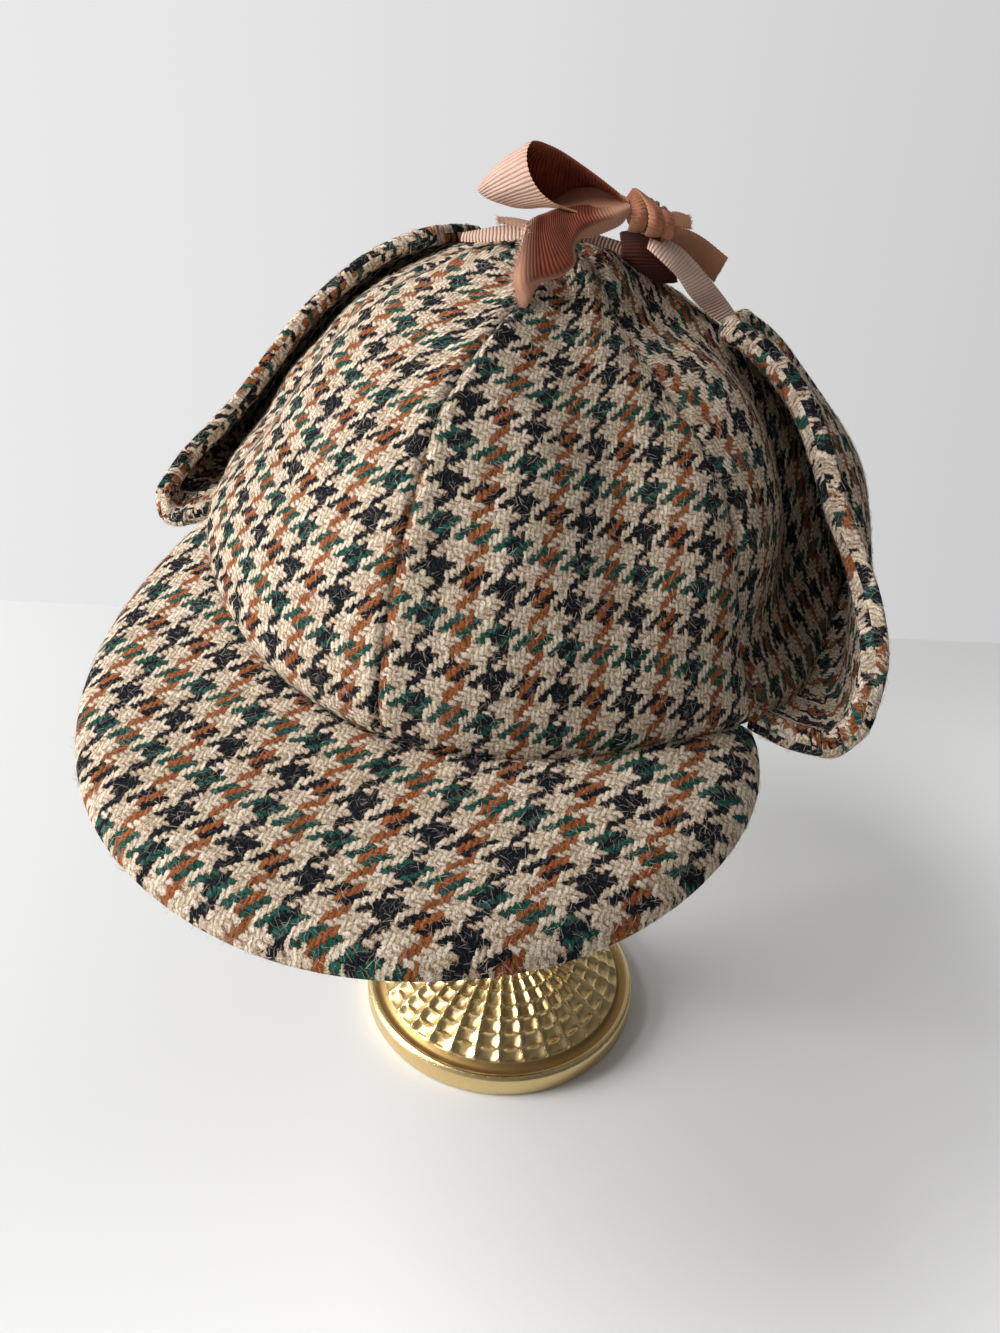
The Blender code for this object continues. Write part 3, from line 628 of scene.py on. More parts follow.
def tweed_finish():
    """Gun-club check in a chunky two-by-two twill. Its map counts warp and weft yarns."""
    cloth = Finish("gun_club_tweed")
    place = cloth.here()
    true_across, true_along, _ = cloth.split(cloth.uv("weave"))
    across, along = true_across, true_along
    for scale, reach in DRIFTS:
        drift_across, drift_along, _ = cloth.split(cloth.noise(place, scale, 1.0, output=1))
        across = across + (drift_across - 0.5) * reach
        along = along + (drift_along - 0.5) * reach
    yarns, rises = [], []
    for counted, followed, offset, narrowness in ((across, along, 1.0, 3.8), (along, across, 2.0, 4.6)):
        stripe = cloth.floor(counted)
        run = (followed - stripe) % TWILL - offset
        side = counted - stripe - 0.5
        roundness = cloth.root(cloth.clamp(1.0 - side * side * narrowness))
        rises.append(cloth.sum("COSINE", run * (pi / 2)) * 0.60 + roundness * 0.5)
        number = cloth.floor((followed - stripe) / TWILL)
        yarns.append((side, run, stripe, number, roundness))
    warp_height, weft_height = rises[0] + WARP_PROUD, rises[1]
    warp_up = warp_height > weft_height
    height = cloth.sum("MAXIMUM", warp_height, weft_height)
    side, run, stripe, number, roundness = (
        cloth.blend(warp_up, weft, warp) for warp, weft in zip(*yarns)
    )
    count = ((stripe % CHECK) + 0.5) / CHECK
    colour = cloth.mix(warp_up, cloth.stripes(count, PICKS), cloth.stripes(count, ENDS))

    luck = cloth.chance(cloth.point(stripe, number, warp_up))
    twist = cloth.point(side * 2.6 + run * 1.9 + stripe * 3.7, run * 0.9 + number * 5.3, warp_up * 9.0)
    fibres = cloth.noise(twist, 1.0, 3.0, 0.75)
    speckle = cloth.noise(place, 2400.0, 2.0, 0.8)
    patch = cloth.noise(place, 45.0, 3.0, 0.6)
    # Painted shade: each yarn darkens towards its edges and where it lies lower than the crossing yarn, and
    # the shade turns browner as it deepens
    depth = (0.36 + 0.64 * roundness ** 1.5) * cloth.step(height, 0.25, 1.0, 0.52, 1.0)
    tone = 1.13 + (luck - 0.5) * 0.45 + (fibres - 0.5) * 2.6
    tone = tone + (speckle - 0.5) * 2.4 + (patch - 0.5) * 0.3
    shade = cloth.clamp(tone * depth * 0.7 + 0.02) * 1.43
    warm_shade = cloth.point(shade ** 0.82, shade, shade ** 1.3)
    colour = cloth.mix(1.0, colour, warm_shade, "MULTIPLY")

    hairs = 0.0
    for degrees, seed in HAIR_LAYERS:
        turn = radians(degrees)
        bend = (cloth.noise(cloth.point(true_across, true_along, seed), 0.16, 1.0) - 0.5) * 5.0
        ahead = true_across * cos(turn) + true_along * sin(turn)
        aside = true_along * cos(turn) - true_across * sin(turn) + bend
        wisp = cloth.noise(cloth.point(ahead * 0.16, aside * 0.9, seed), 1.0, 0.0)
        thin = cloth.step(cloth.size(wisp - 0.5), 0.005, 0.020, 1.0, 0.0)
        gaps = cloth.noise(cloth.point(ahead * 0.5, aside * 0.5, seed + 9.0), 1.0, 0.0)
        hairs = thin * cloth.step(gaps, 0.52, 0.60) + hairs
    hairs = cloth.clamp(hairs)
    colour = cloth.mix(hairs * 0.16, colour, HAIR)
    relief = height + fibres * 1.3 + speckle * 1.1 + hairs * 0.3
    return cloth.finish(colour, 0.95, cloth.bump(relief, 0.00040), specular=0.0, sheen=(0.02, 0.6))


def lining_finish():
    """Plain brown cotton inside the crown."""
    lining = Finish("cotton_lining")
    place = lining.here()
    x, y, z = lining.split(place)
    grain = lining.wave(x * 9000.0) * lining.wave((y + z) * 9000.0)
    cloud = lining.noise(place, 60.0, 3.0)
    colour = lining.mix(cloud, (0.085, 0.050, 0.030), (0.130, 0.080, 0.050))
    return lining.finish(colour, 0.85, lining.bump(grain, 0.00008))


def ribbon_finish(name, deep, light, pale, groove_shade):
    """Grosgrain. Its map runs across the ribbon in mm and along it in ribs."""
    silk = Finish(name)
    place = silk.here()
    across, ribs, _ = silk.split(silk.uv("ribs"))
    paler = silk.mark("paler")
    selvedge = silk.mark("selvedge")
    ribs = ribs + (silk.noise(place, 260.0, 2.0) - 0.5) * 0.25
    rib = silk.size(silk.wave(ribs * pi))
    thread = silk.wave(across * 2 * pi * 4.2)
    cloud = silk.noise(place, 90.0, 3.0, 0.6)
    fade = silk.noise(place, 420.0, 2.0, 0.7)
    speck = silk.noise(place, 5000.0, 1.0)
    colour = silk.mix(silk.step(cloud + fade * 0.3, 0.4, 0.9), deep, light)
    colour = silk.mix(silk.clamp(paler + selvedge * 0.6), colour, pale)
    # Painted shade in the grooves between the ribs, with random specks
    groove = 1.0 - silk.root(rib)
    depth = 1.0 - groove * groove_shade * (1.0 - paler * 0.9) + (speck - 0.5) * 0.16
    colour = silk.mix(1.0, colour, silk.point(depth ** 0.8, depth, depth ** 1.2), "MULTIPLY")
    relief = rib * (1.0 - paler * 0.9) + thread * 0.06
    return silk.finish(colour, 0.66, silk.bump(relief, 0.00026, 0.9), specular=0.08, sheen=(0.03, 0.5))


def thread_finish():
    """Loose threads at the ribbon's cut ends."""
    thread = Finish("frayed_thread")
    tone = thread.noise(thread.here(), 700.0, 2.0)
    colour = thread.mix(tone, (0.55, 0.33, 0.24), (0.76, 0.56, 0.44))
    return thread.finish(colour, 0.7, sheen=(0.3, 0.5))


def hair_finish():
    """Wool fibres that stand off the tweed."""
    wool = Finish("loose_wool")
    tone = wool.noise(wool.here(), 300.0, 2.0)
    colour = wool.mix(wool.step(tone, 0.35, 0.65), (0.26, 0.21, 0.16), (0.66, 0.56, 0.44))
    return wool.finish(colour, 0.8, sheen=(0.4, 0.5))


def brass_finish():
    """Lacquered cast brass, darker in the grooves with tarnish and painted shade, and lightly rubbed."""
    brass = Finish("aged_brass")
    place = brass.here()
    relief = brass.mark("groove")
    cloud = brass.noise(place, 55.0, 4.0, 0.6)
    fine = brass.noise(place, 900.0, 2.0, 0.6)
    pits = brass.step(brass.noise(place, 2400.0, 1.0, 0.6), 0.60, 0.72)
    colour = brass.mix(cloud, (0.68, 0.50, 0.22), (0.82, 0.64, 0.33))
    # The groove mark darkens the brass: tarnish in the hollows and painted shade
    colour = brass.mix(relief * 0.85, colour, (0.30, 0.175, 0.055))
    colour = brass.mix(pits * 0.5, colour, (0.45, 0.32, 0.15))
    roughness = 0.16 + cloud * 0.12 + fine * 0.06 + relief * 0.25
    return brass.finish(colour, roughness, brass.bump(fine + cloud - pits, 0.00006, 0.5), metallic=1.0)


def table_finish():
    table = Finish("white_table")
    place = table.here()
    x, y, _ = table.split(place)
    # Painted light: the table is lighter towards the right and the front and darker towards the left and the
    # back, to even out how the windows light it
    level = table.step(x - y * 0.5, -0.06, 0.20, 0.64, 0.97) + table.noise(place, 6.0, 3.0) * 0.02
    return table.finish(table.point(level, level, level * 0.993), 0.6)


# Shapes

def unit(vectors):
    return vectors / np.maximum(np.linalg.norm(vectors, axis=-1, keepdims=True), 1e-12)


def bell(distance, reach):
    """1 at no distance, fading out over the reach."""
    return np.exp(-(distance / reach) ** 2)


def rounded_edge(from_edge, radius, fullness=2):
    """How full a rounded edge is at that distance from it, from 0 to 1."""
    return (1 - (1 - np.clip(from_edge / radius, 0, 1)) ** fullness) ** (1 / fullness)


def turn_apart(turn, middle):
    return (turn - middle + pi) % (2 * pi) - pi


def rim_half_width(turn):
    """The rim is a little wider on the wearer's right."""
    middle = (RIM_HALF_WIDTH_LEFT + RIM_HALF_WIDTH_RIGHT) / 2
    return middle + (RIM_HALF_WIDTH_LEFT - middle) * np.sin(turn)


def rim_height(turn):
    """The rim rises to the sides, less on the wearer's left, where the flap drags it down."""
    dip = RIM_DIP * bell(turn_apart(turn, RIM_DIP_TURN), RIM_DIP_REACH)
    return RIM_SIDE_RISE * np.sin(turn) ** 2 - RIM_SIDE_TILT * np.sin(turn) - dip


def bare_crown(turn, lift):
    """The crown without folds. turn runs from the front towards +X, lift from the rim to the top."""
    spread = np.maximum(np.cos(lift), 0) ** (2 / CROWN_FULLNESS)
    climb = np.maximum(np.sin(lift), 0) ** (2 / CROWN_FULLNESS)
    x = spread * rim_half_width(turn) * np.sin(turn) + CROWN_LEAN * climb
    y = -spread * RIM_HALF_LENGTH * np.cos(turn)
    z = rim_height(turn) * (1 - climb) + CROWN_HEIGHT * climb
    return np.stack([x, y, z], axis=-1)


def crown_normal(turn, lift):
    step = 0.01
    lift = np.clip(lift, radians(2), radians(88))
    along = bare_crown(turn + step, lift) - bare_crown(turn - step, lift)
    up = bare_crown(turn, lift + step) - bare_crown(turn, lift - step)
    return unit(np.cross(along, up))


def fold_depth(turn, lift):
    depth = np.zeros_like(turn)
    for row in FOLDS:
        fold = dict(zip(FOLD_COLUMNS, row))
        across = turn_apart(turn, radians(fold["turn_deg"])) / radians(fold["turn_reach_deg"])
        upward = (lift - radians(fold["lift_deg"])) / radians(fold["lift_reach_deg"])
        depth = depth + fold["depth_mm"] * MM * np.exp(-across ** 2 - upward ** 2)
    return depth


def ridge(turn, lift):
    """How far the crown stands out beside the front seam, in metres."""
    aside = turn_apart(turn, 0) * np.cos(lift) ** (2 / CROWN_FULLNESS) * RIM_HALF_WIDTH_LEFT
    reach = np.where(aside < 0, RIDGE_REACH_RIGHT, RIDGE_REACH_LEFT)
    fade = np.clip(lift / RIDGE_RISE, 0, 1) * np.clip((RIDGE_END - lift) / RIDGE_FALL, 0, 1)
    return RIDGE_HEIGHT * fade * np.exp(-np.sqrt(aside ** 2 + RIDGE_SOFTNESS ** 2) / reach)


def leaning(turn, lift):
    """The turn to which the lean of the front seam carries the cloth."""
    near = bell(turn_apart(turn, 0), SEAM_LEAN_REACH)
    climb = np.clip((lift - SEAM_LEAN_START) / SEAM_LEAN_CLIMB, 0, 1) ** 1.5
    return turn + near * (SEAM_LEAN + SEAM_LEAN_AT_TOP * climb)


def hand(turn, lift):
    """The soft unevenness of worn cloth, in metres."""
    wide = np.sin(turn * 7 + 1.3) * np.sin(lift * 6 + 0.4) + 0.7 * np.sin(turn * 11 - lift * 5)
    fine = np.sin(turn * 23 + lift * 9 + 2.0) * np.sin(lift * 17 - turn * 5)
    return (wide * 0.28 + fine * 0.12) * MM


def crown_point(turn, lift, out=0.0):
    """A point out from the crown's outer face, folds included."""
    turn, lift = np.broadcast_arrays(np.asarray(turn, float), np.asarray(lift, float))
    depth = fold_depth(turn, lift) + out
    return bare_crown(turn, lift) + crown_normal(turn, lift) * depth[..., None]


def smooth_rows(values, steps):
    """Rows between the given ones, on Catmull-Rom curves through them."""
    values = np.asarray(values, float)
    padded = np.concatenate([2 * values[:1] - values[1:2], values, 2 * values[-1:] - values[-2:-1]])
    result = []
    for index in range(len(values) - 1):
        before, start, end, after = padded[index:index + 4]
        for share in np.arange(steps) / steps:
            bend = 2 * before - 5 * start + 4 * end - after
            twist = 3 * (start - end) + after - before
            result.append(start + 0.5 * share * (end - before + share * (bend + share * twist)))
    result.append(values[-1])
    return np.array(result)


def to_edges(count, strength):
    """Shares from 0 to 1 that crowd towards both ends."""
    even = np.linspace(0, 1, count)
    return (1 - strength) * even + strength * (0.5 - 0.5 * np.cos(pi * even))


def arc(points, axis):
    """Length along a grid of points, from its first row or column."""
    steps = np.linalg.norm(np.diff(points, axis=axis), axis=-1)
    start = np.zeros_like(np.take(steps, [0], axis=axis))
    return np.concatenate([start, np.cumsum(steps, axis=axis)], axis=axis)


def grain_map(name, across, along):
    """Counts of warp and weft yarns at places of a piece laid flat, in metres."""
    grain = dict(zip(GRAIN_COLUMNS, GRAINS[name]))
    turn = radians(grain["turn_deg"])
    a = (across * cos(turn) + along * sin(turn)) / MM
    b = (along * cos(turn) - across * sin(turn)) / MM
    b_bent = b + (grain["arch"] * a * a + grain["fan"] * a * b) / 100
    ends = a / grain["across_mm"] + grain["across_start"]
    picks = b_bent / grain["along_mm"] + grain["along_start"]
    return np.stack([ends, picks], axis=-1)


def resampled(points, places, length):
    """Rows of a grid at the given places along it, where length gives the place of each row."""
    columns = points.reshape(len(points), -1).T
    spread = np.stack([np.interp(places, length, column) for column in columns], axis=1)
    return spread.reshape(len(places), *points.shape[1:])


def ringed(radius, angle, height):
    """Points at those radii, angles and heights about the upright axis."""
    return np.stack([radius * np.cos(angle), radius * np.sin(angle), height + 0 * angle], axis=-1)


def numbered(rows, columns):
    return np.arange(rows * columns).reshape(rows, columns)


def grid_faces(number):
    """Four-sided faces between the numbered points of a grid."""
    corners = [number[:-1, :-1], number[:-1, 1:], number[1:, 1:], number[1:, :-1]]
    return np.stack(corners, axis=-1).reshape(-1, 4)


def put(name, data):
    """A new object in the scene."""
    made = bpy.data.objects.new(name, data)
    bpy.context.collection.objects.link(made)
    return made


def dress(piece, node):
    """Rides on the one body, and stands for its node in shape and finish."""
    if piece.data.materials[0].name == "gun_club_tweed":
        loose_wool(piece, node, bpy.data.node_groups["loose_wool"], len(node) + len(bpy.data.objects))
    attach(piece, "root")
    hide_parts(node)


def place_mesh(name, points, faces, finishes, maps=None, marks=None, numbers=None, sharp=60):
    """A piece of points and faces, turned outwards, shaded smooth and finished."""
    mesh = bpy.data.meshes.new(name)
    mesh.from_pydata([tuple(point) for point in points], [], faces)
    for finish in finishes:
        mesh.materials.append(finish)
    if numbers is not None:
        mesh.polygons.foreach_set("material_index", np.asarray(numbers, np.int32))
    corners = np.empty(len(mesh.loops), dtype=np.int32)
    mesh.loops.foreach_get("vertex_index", corners)
    for map_name, values in (maps or {}).items():
        layer = mesh.uv_layers.new(name=map_name)
        layer.data.foreach_set("uv", values[corners].astype(np.float32).ravel())
    for mark, values in (marks or {}).items():
        layer = mesh.attributes.new(mark, "FLOAT", "POINT")
        layer.data.foreach_set("value", values.astype(np.float32).ravel())
    work = bmesh.new()
    work.from_mesh(mesh)
    bmesh.ops.remove_doubles(work, verts=work.verts, dist=0.000004)
    bmesh.ops.dissolve_degenerate(work, edges=work.edges, dist=0.000004)
    bmesh.ops.recalc_face_normals(work, faces=work.faces)
    work.to_mesh(mesh)
    work.free()
    mesh.shade_smooth()
    mesh.set_sharp_from_angle(angle=radians(sharp))
    return put(name, mesh)


def wall(name, node, outer, inner, finishes, mapped, place=(0, 0, 0), inner_map=None, marks=None):
    """One closed body between two grids of points. Its inner faces take the last finish."""
    points = np.concatenate([outer.reshape(-1, 3), inner.reshape(-1, 3)]) + np.asarray(place)
    number = numbered(*outer.shape[:2])
    offset = number.size
    quads = grid_faces(number)
    border = np.concatenate([number[0], number[1:, -1], number[-1, -2::-1], number[-2:0:-1, 0]])
    following = np.roll(border, -1)
    sides = np.stack([following, border, border + offset, following + offset], axis=-1)
    faces = np.concatenate([quads, quads[:, ::-1] + offset, sides]).tolist()
    inner_map = mapped if inner_map is None else inner_map
    values = np.concatenate([mapped.reshape(-1, 2), inner_map.reshape(-1, 2)])
    doubled = {mark: np.concatenate([each.ravel(), each.ravel()]) for mark, each in (marks or {}).items()}
    numbers = [0] * len(quads) + [len(finishes) - 1] * len(quads) + [0] * len(sides)
    maps = {"ribs" if marks else "weave": values}
    dress(place_mesh(name, points, faces, finishes, maps, doubled, numbers), node)


def crown_gore(name, start, end, tweed, lining):
    """One crown panel, full between its seams, which are drawn in and a little puckered."""
    lift = np.linspace(0, 1, GORE_ROWS)[:, None] * GORE_TOP_LIFT
    turn = np.radians(start + (end - start) * to_edges(GORE_COLUMNS, 0.65))[None, :]
    turn, lift = np.broadcast_arrays(turn, lift)
    bare = bare_crown(turn, lift)
    across = arc(bare, 1)
    across = across - (across[:, [GORE_COLUMNS // 2]] + across[:, [GORE_COLUMNS // 2 - 1]]) / 2
    along = arc(bare, 0)
    reach = np.cos(lift) ** (2 / CROWN_FULLNESS) * RIM_HALF_WIDTH_LEFT
    seam = np.minimum(turn - radians(start), radians(end) - turn) * reach
    close = np.minimum(reach / SEAM_MEETING, 1) * (1 - 0.6 * bell(along, SEAM_START))
    pucker = 1 + 0.30 * np.sin(along / 0.0052 + start) + 0.2 * np.sin(along / 0.0021)
    out = -SEAM_DEPTH * close * bell(seam, SEAM_WIDTH)
    at_front = bell(turn_apart(turn, 0), FRONT_SEAM_REACH)
    out = out - SEAM_PUCKER * close * pucker * bell(seam, SEAM_REACH) * (1 - 0.85 * at_front)
    out = out + hand(turn, lift) * close
    out = out - RIM_TUCK * bell(along, RIM_TUCK_REACH) + ridge(turn, lift)
    turn = leaning(turn, lift)
    outer = crown_point(turn, lift, out)
    inner = crown_point(turn, lift, out - CLOTH)
    inner[0, :, 2] = outer[0, :, 2]
    mapped = grain_map(name, across, along)
    wall(f"{name}_cloth", name, outer, inner, [tweed, lining], mapped, HAT_CENTRE)


def peak(name, middle, skew, tweed):
    """A stiff crescent that slopes out and down from the rim, with its cloth turned over the edge."""
    share = to_edges(PEAK_COLUMNS, 0.5)[None, :]
    side = np.abs(2 * share - 1)
    turn = middle + (2 * share - 1) * PEAK_HALF_SPAN
    slope = PEAK_SLOPE_MIDDLE + (PEAK_SLOPE_SIDE - PEAK_SLOPE_MIDDLE) * side ** 1.5
    width = PEAK_DEPTH * np.sin(pi * share) ** PEAK_FULLNESS * (1 + skew * (1 - 2 * share))
    width = width + PEAK_CORNER_WIDTH
    half_width = rim_half_width(turn)
    out = unit(np.stack([np.sin(turn) / half_width, -np.cos(turn) / RIM_HALF_LENGTH, 0 * turn], axis=-1))
    rim = bare_crown(turn, 0 * turn)
    progress = np.sin(np.linspace(0, pi / 2, PEAK_ROWS))[:, None]
    reach = np.concatenate([np.full_like(width, -PEAK_TUCK), progress * width])
    slope = np.broadcast_to(slope, reach.shape)
    level = np.maximum(reach, 0)
    top = rim + out * (reach * np.where(reach > 0, np.cos(slope), 1))[..., None]
    wave = 0.35 * MM * np.sin(turn * 13 + 0.8) * (level / width.max()) ** 2
    turned_down = PEAK_TURN_DOWN * np.clip((level - width + PEAK_MARGIN) / PEAK_MARGIN, 0, 1) ** 2
    top[..., 2] -= PEAK_GAP + level * np.sin(slope) + wave + turned_down
    thickness = PEAK_THICKNESS + (PEAK_EDGE_THICKNESS - PEAK_THICKNESS) * level / width.max()
    under = top.copy()
    under[..., 2] -= thickness
    rounding = thickness / 2 * (1 - rounded_edge(width - level, thickness / 2))
    top[..., 2] -= rounding
    under[..., 2] += rounding
    forward = cos(middle)
    mapped = grain_map(name, top[..., 0] * forward, top[..., 1] * forward + 0.1)
    wall(f"{name}_cloth", name, top, under, [tweed], mapped, HAT_CENTRE)


def spread_columns(points, distances):
    """Each row of a grid resampled at the given distances from its start, one list per row."""
    rows = [resampled(*row) for row in zip(points, distances, arc(points, 1))]
    return np.array(rows)


def rounded_places(total, radius, count, inside):
    """Distances from 0 to total that follow a round edge of that radius at both ends."""
    edge = radius * (1 - np.cos(np.linspace(0, pi / 2, count)))
    middle = np.linspace(radius, total - radius, inside + 2)[1:-1]
    return np.concatenate([edge, middle, total - edge[::-1]])


def laid_flat(points):
    """A curved panel laid flat, in metres. Points keep their distances as well as they can."""
    row, column = points.shape[0] // 2, points.shape[1] // 2
    middle = points[row, column]
    up = unit(points[row + 2, column] - middle)
    across = points[row, column + 2] - middle
    across = unit(across - up * (across @ up))
    flat = np.stack([(points - middle) @ across, (points - middle) @ up], axis=-1)
    for stride in FLAT_STRIDES:
        pairs = []
        for axis in (0, 1):
            length = arc(points, axis)
            ahead = np.take(length, range(stride, length.shape[axis]), axis)
            pairs.append(ahead - np.take(length, range(length.shape[axis] - stride), axis))
        slant = [np.linalg.norm(points[stride:, stride:] - points[:-stride, :-stride], axis=-1)]
        slant.append(np.linalg.norm(points[stride:, :-stride] - points[:-stride, stride:], axis=-1))
        for _ in range(FLAT_ROUNDS):
            move = np.zeros_like(flat)
            for wanted, start, end in (
                (pairs[0], np.s_[:-stride, :], np.s_[stride:, :]),
                (pairs[1], np.s_[:, :-stride], np.s_[:, stride:]),
                (slant[0], np.s_[:-stride, :-stride], np.s_[stride:, stride:]),
                (slant[1], np.s_[:-stride, stride:], np.s_[stride:, :-stride]),
            ):
                gap = flat[end] - flat[start]
                have = np.maximum(np.linalg.norm(gap, axis=-1), 1e-9)
                fix = gap * ((wanted - have) / have)[..., None] * 0.1
                move[start] -= fix
                move[end] += fix
            flat += move
    return flat


def rolled_map(flat, from_side, radius):
    """The flat places carried round a border of that radius."""
    ahead = FLAP_EDGE_STEPS - 1
    half = flat.shape[1] // 2
    left, right = flat[:, [ahead]], flat[:, [-1 - ahead]]
    on_left = (np.arange(flat.shape[1]) < half)[None, :, None]
    start = np.where(on_left, left, right)
    outwards = np.where(on_left, unit(flat[:, [0]] - left), unit(flat[:, [-1]] - right))
    turned_over = np.arcsin(np.clip(1 - from_side / radius, 0, 1)) * radius
    return np.where((from_side < radius)[..., None], start + outwards * turned_over[..., None], flat)


def ear_flap(name, guides, side, border_thickness, tweed):
    """An ear flap turned up against the crown, padded along its border and rolled round its edge."""
    front, middle, back = (smooth_rows(guides[place], FLAP_STEPS)[:, None] for place in guides)
    share = np.linspace(0, 1, FLAP_COLUMNS)[None, :, None]
    blend = front * (1 - share) * (1 - 2 * share)
    blend += middle * 4 * share * (1 - share)
    blend += back * share * (2 * share - 1)
    turn, lift, drop, out = np.moveaxis(blend, 2, 0)
    turn = side * np.radians(turn)
    lift = np.radians(np.maximum(lift, 0))
    face = bare_crown(turn, lift) + crown_normal(turn, lift) * (out * MM)[..., None]
    face[..., 2] -= np.maximum(drop, 0) * MM
    radius = border_thickness / 2
    height = arc(face, 0)[-1].mean()
    tall = np.swapaxes(face, 0, 1)
    rows = rounded_places(height, radius, FLAP_EDGE_STEPS, FLAP_ROWS)[FLAP_EDGE_STEPS - 1:] - radius
    shares = rows / rows[-1]
    tall = spread_columns(tall, [shares * length for length in arc(tall, 1)[:, -1]])
    face = np.swapaxes(tall, 0, 1)
    widths = arc(face, 1)[:, -1]
    places = np.array([rounded_places(width, radius, FLAP_EDGE_STEPS, FLAP_COLUMNS) for width in widths])
    face = spread_columns(face, places)
    facing = unit(np.cross(np.gradient(face, axis=1), np.gradient(face, axis=0))) * side
    for _ in range(FLAP_SMOOTHING):
        facing[1:-1] = unit(facing[:-2] + 2 * facing[1:-1] + facing[2:])
    from_side = np.minimum(places, widths[:, None] - places)
    to_tip = (1 - shares)[:, None] * height
    from_edge = np.minimum(from_side, to_tip)
    border = bell(np.maximum(from_edge - radius, 0), FLAP_BORDER_WIDTH)
    thickness = FLAP_THICKNESS + (border_thickness - FLAP_THICKNESS) * border
    half = thickness / 2 * rounded_edge(from_edge, radius, 2.8)
    wave = 0.35 * MM * np.sin(to_tip / 0.0058 + 2 * side) * bell(from_side, 0.004)
    middle_face = face - facing * (radius + wave)[..., None]
    outer = middle_face + facing * half[..., None]
    inner = middle_face - facing * half[..., None]
    flat = laid_flat(face)
    over_tip = np.linspace(0, FLAP_TIP_ROLL, FLAP_EDGE_STEPS)[:, None, None]
    flat[-FLAP_EDGE_STEPS:] += unit(flat[-1:] - flat[-2:-1]) * over_tip
    rolled = rolled_map(flat, from_side, radius)
    mapped = grain_map(name, rolled[..., 0] * side, rolled[..., 1])
    wall(f"{name}_cloth", name, outer, inner, [tweed], mapped, HAT_CENTRE, mapped + FLAP_INNER_START)


def ribbon(name, node, table, silk, reverse, face, pale):
    """A stretch of grosgrain through a table of points, its selvedges scalloped by the ribs.

    Gives its flat width and length, and its flat area.
    """
    rows = smooth_rows(np.array(table) * MM, RIBBON_STEPS)
    rows = np.swapaxes(smooth_rows(np.swapaxes(rows, 0, 1), RIBBON_STEPS), 0, 1)
    length = arc(rows[:, rows.shape[1] // 2], 0)
    sheet = resampled(rows, np.linspace(0, length[-1], int(length[-1] / RIBBON_ROW_SPACING) + 2), length)
    facing = unit(np.cross(np.gradient(sheet, axis=1), np.gradient(sheet, axis=0))) * face
    ribs = np.arange(len(sheet))[:, None] * RIBBON_ROW_SPACING / RIB_PITCH + np.zeros(sheet.shape[:2])
    outwards = unit(np.gradient(sheet, axis=1))
    bead = SCALLOP * np.abs(np.sin(pi * ribs[:, 0]))[:, None]
    sheet[:, 0] -= outwards[:, 0] * bead
    sheet[:, -1] += outwards[:, -1] * bead
    across = arc(sheet, 1)
    edge = np.minimum(across, across[:, -1:] - across)
    lifted = facing * (RIBBON_THICKNESS / 2 * rounded_edge(edge, RIBBON_THICKNESS / 2))[..., None]
    mapped = np.stack([across / MM, ribs], axis=-1)
    paler = np.zeros(sheet.shape[:2])
    for direction, low, high in pale:
        share = np.linspace(0, 1, sheet.shape[direction])
        ramp = np.clip((share - low) / (high - low), 0, 1)
        paler = np.maximum(paler, ramp[:, None] if direction == PALE_ROWS else ramp[None, :])
    marks = {"paler": paler, "selvedge": np.exp(-edge / SELVEDGE_REACH)}
    wall(name, node, sheet + lifted, sheet - lifted, [silk, reverse], mapped, marks=marks)
    length = arc(sheet, 0)[-1]
    width = max(across[:, -1].max(), LEAST_SHEET)
    cells = np.cross(sheet[1:, 1:] - sheet[:-1, :-1], sheet[1:, :-1] - sheet[:-1, 1:])
    area = np.linalg.norm(cells, axis=-1).sum() / 2
    return (width, max(length.max(), LEAST_SHEET)), area


def knot(silk):
    """The knot's core, gathered in four places. Its ribs run along the knot, under the three wraps."""
    around = np.linspace(0, 2 * pi, KNOT_STEPS_ROUND + 1)[None, :]
    level = np.linspace(-1, 1, KNOT_STEPS_ALONG + 1)[:, None]
    swell = np.maximum(1 - np.abs(level) ** 2.6, 0) ** 0.5
    for place, depth, width in KNOT_GATHERS:
        swell = swell * (1 - depth * bell(level - place - 0.05 * np.sin(around * 2), width))
    bumps = 1 + 0.012 * np.sin(around * KNOT_RIBS)
    points = ringed(swell * bumps * KNOT_RADIUS, around, level * KNOT_HALF_LENGTH)
    turn = np.array(KNOT_AXIS.to_track_quat("Z", "Y").to_matrix())
    points = points @ turn.T + KNOT_CENTRE
    mapped = np.stack([level * 9 + 0 * around, around / (2 * pi) * KNOT_RIBS + 0 * level], axis=-1)
    quads = grid_faces(numbered(*points.shape[:2]))
    maps = {"ribs": mapped.reshape(-1, 2)}
    dress(place_mesh("bow_knot_wraps", points.reshape(-1, 3), quads.tolist(), [silk], maps), "bow_knot")


def thread_faces(first, rings):
    """Sides of a three-sided thread, whose points start at the given number."""
    sides = [(first + ring * 3, side, (side + 1) % 3) for ring in range(rings - 1) for side in range(3)]
    return [(start + a, start + b, start + b + 3, start + a + 3) for start, a, b in sides]


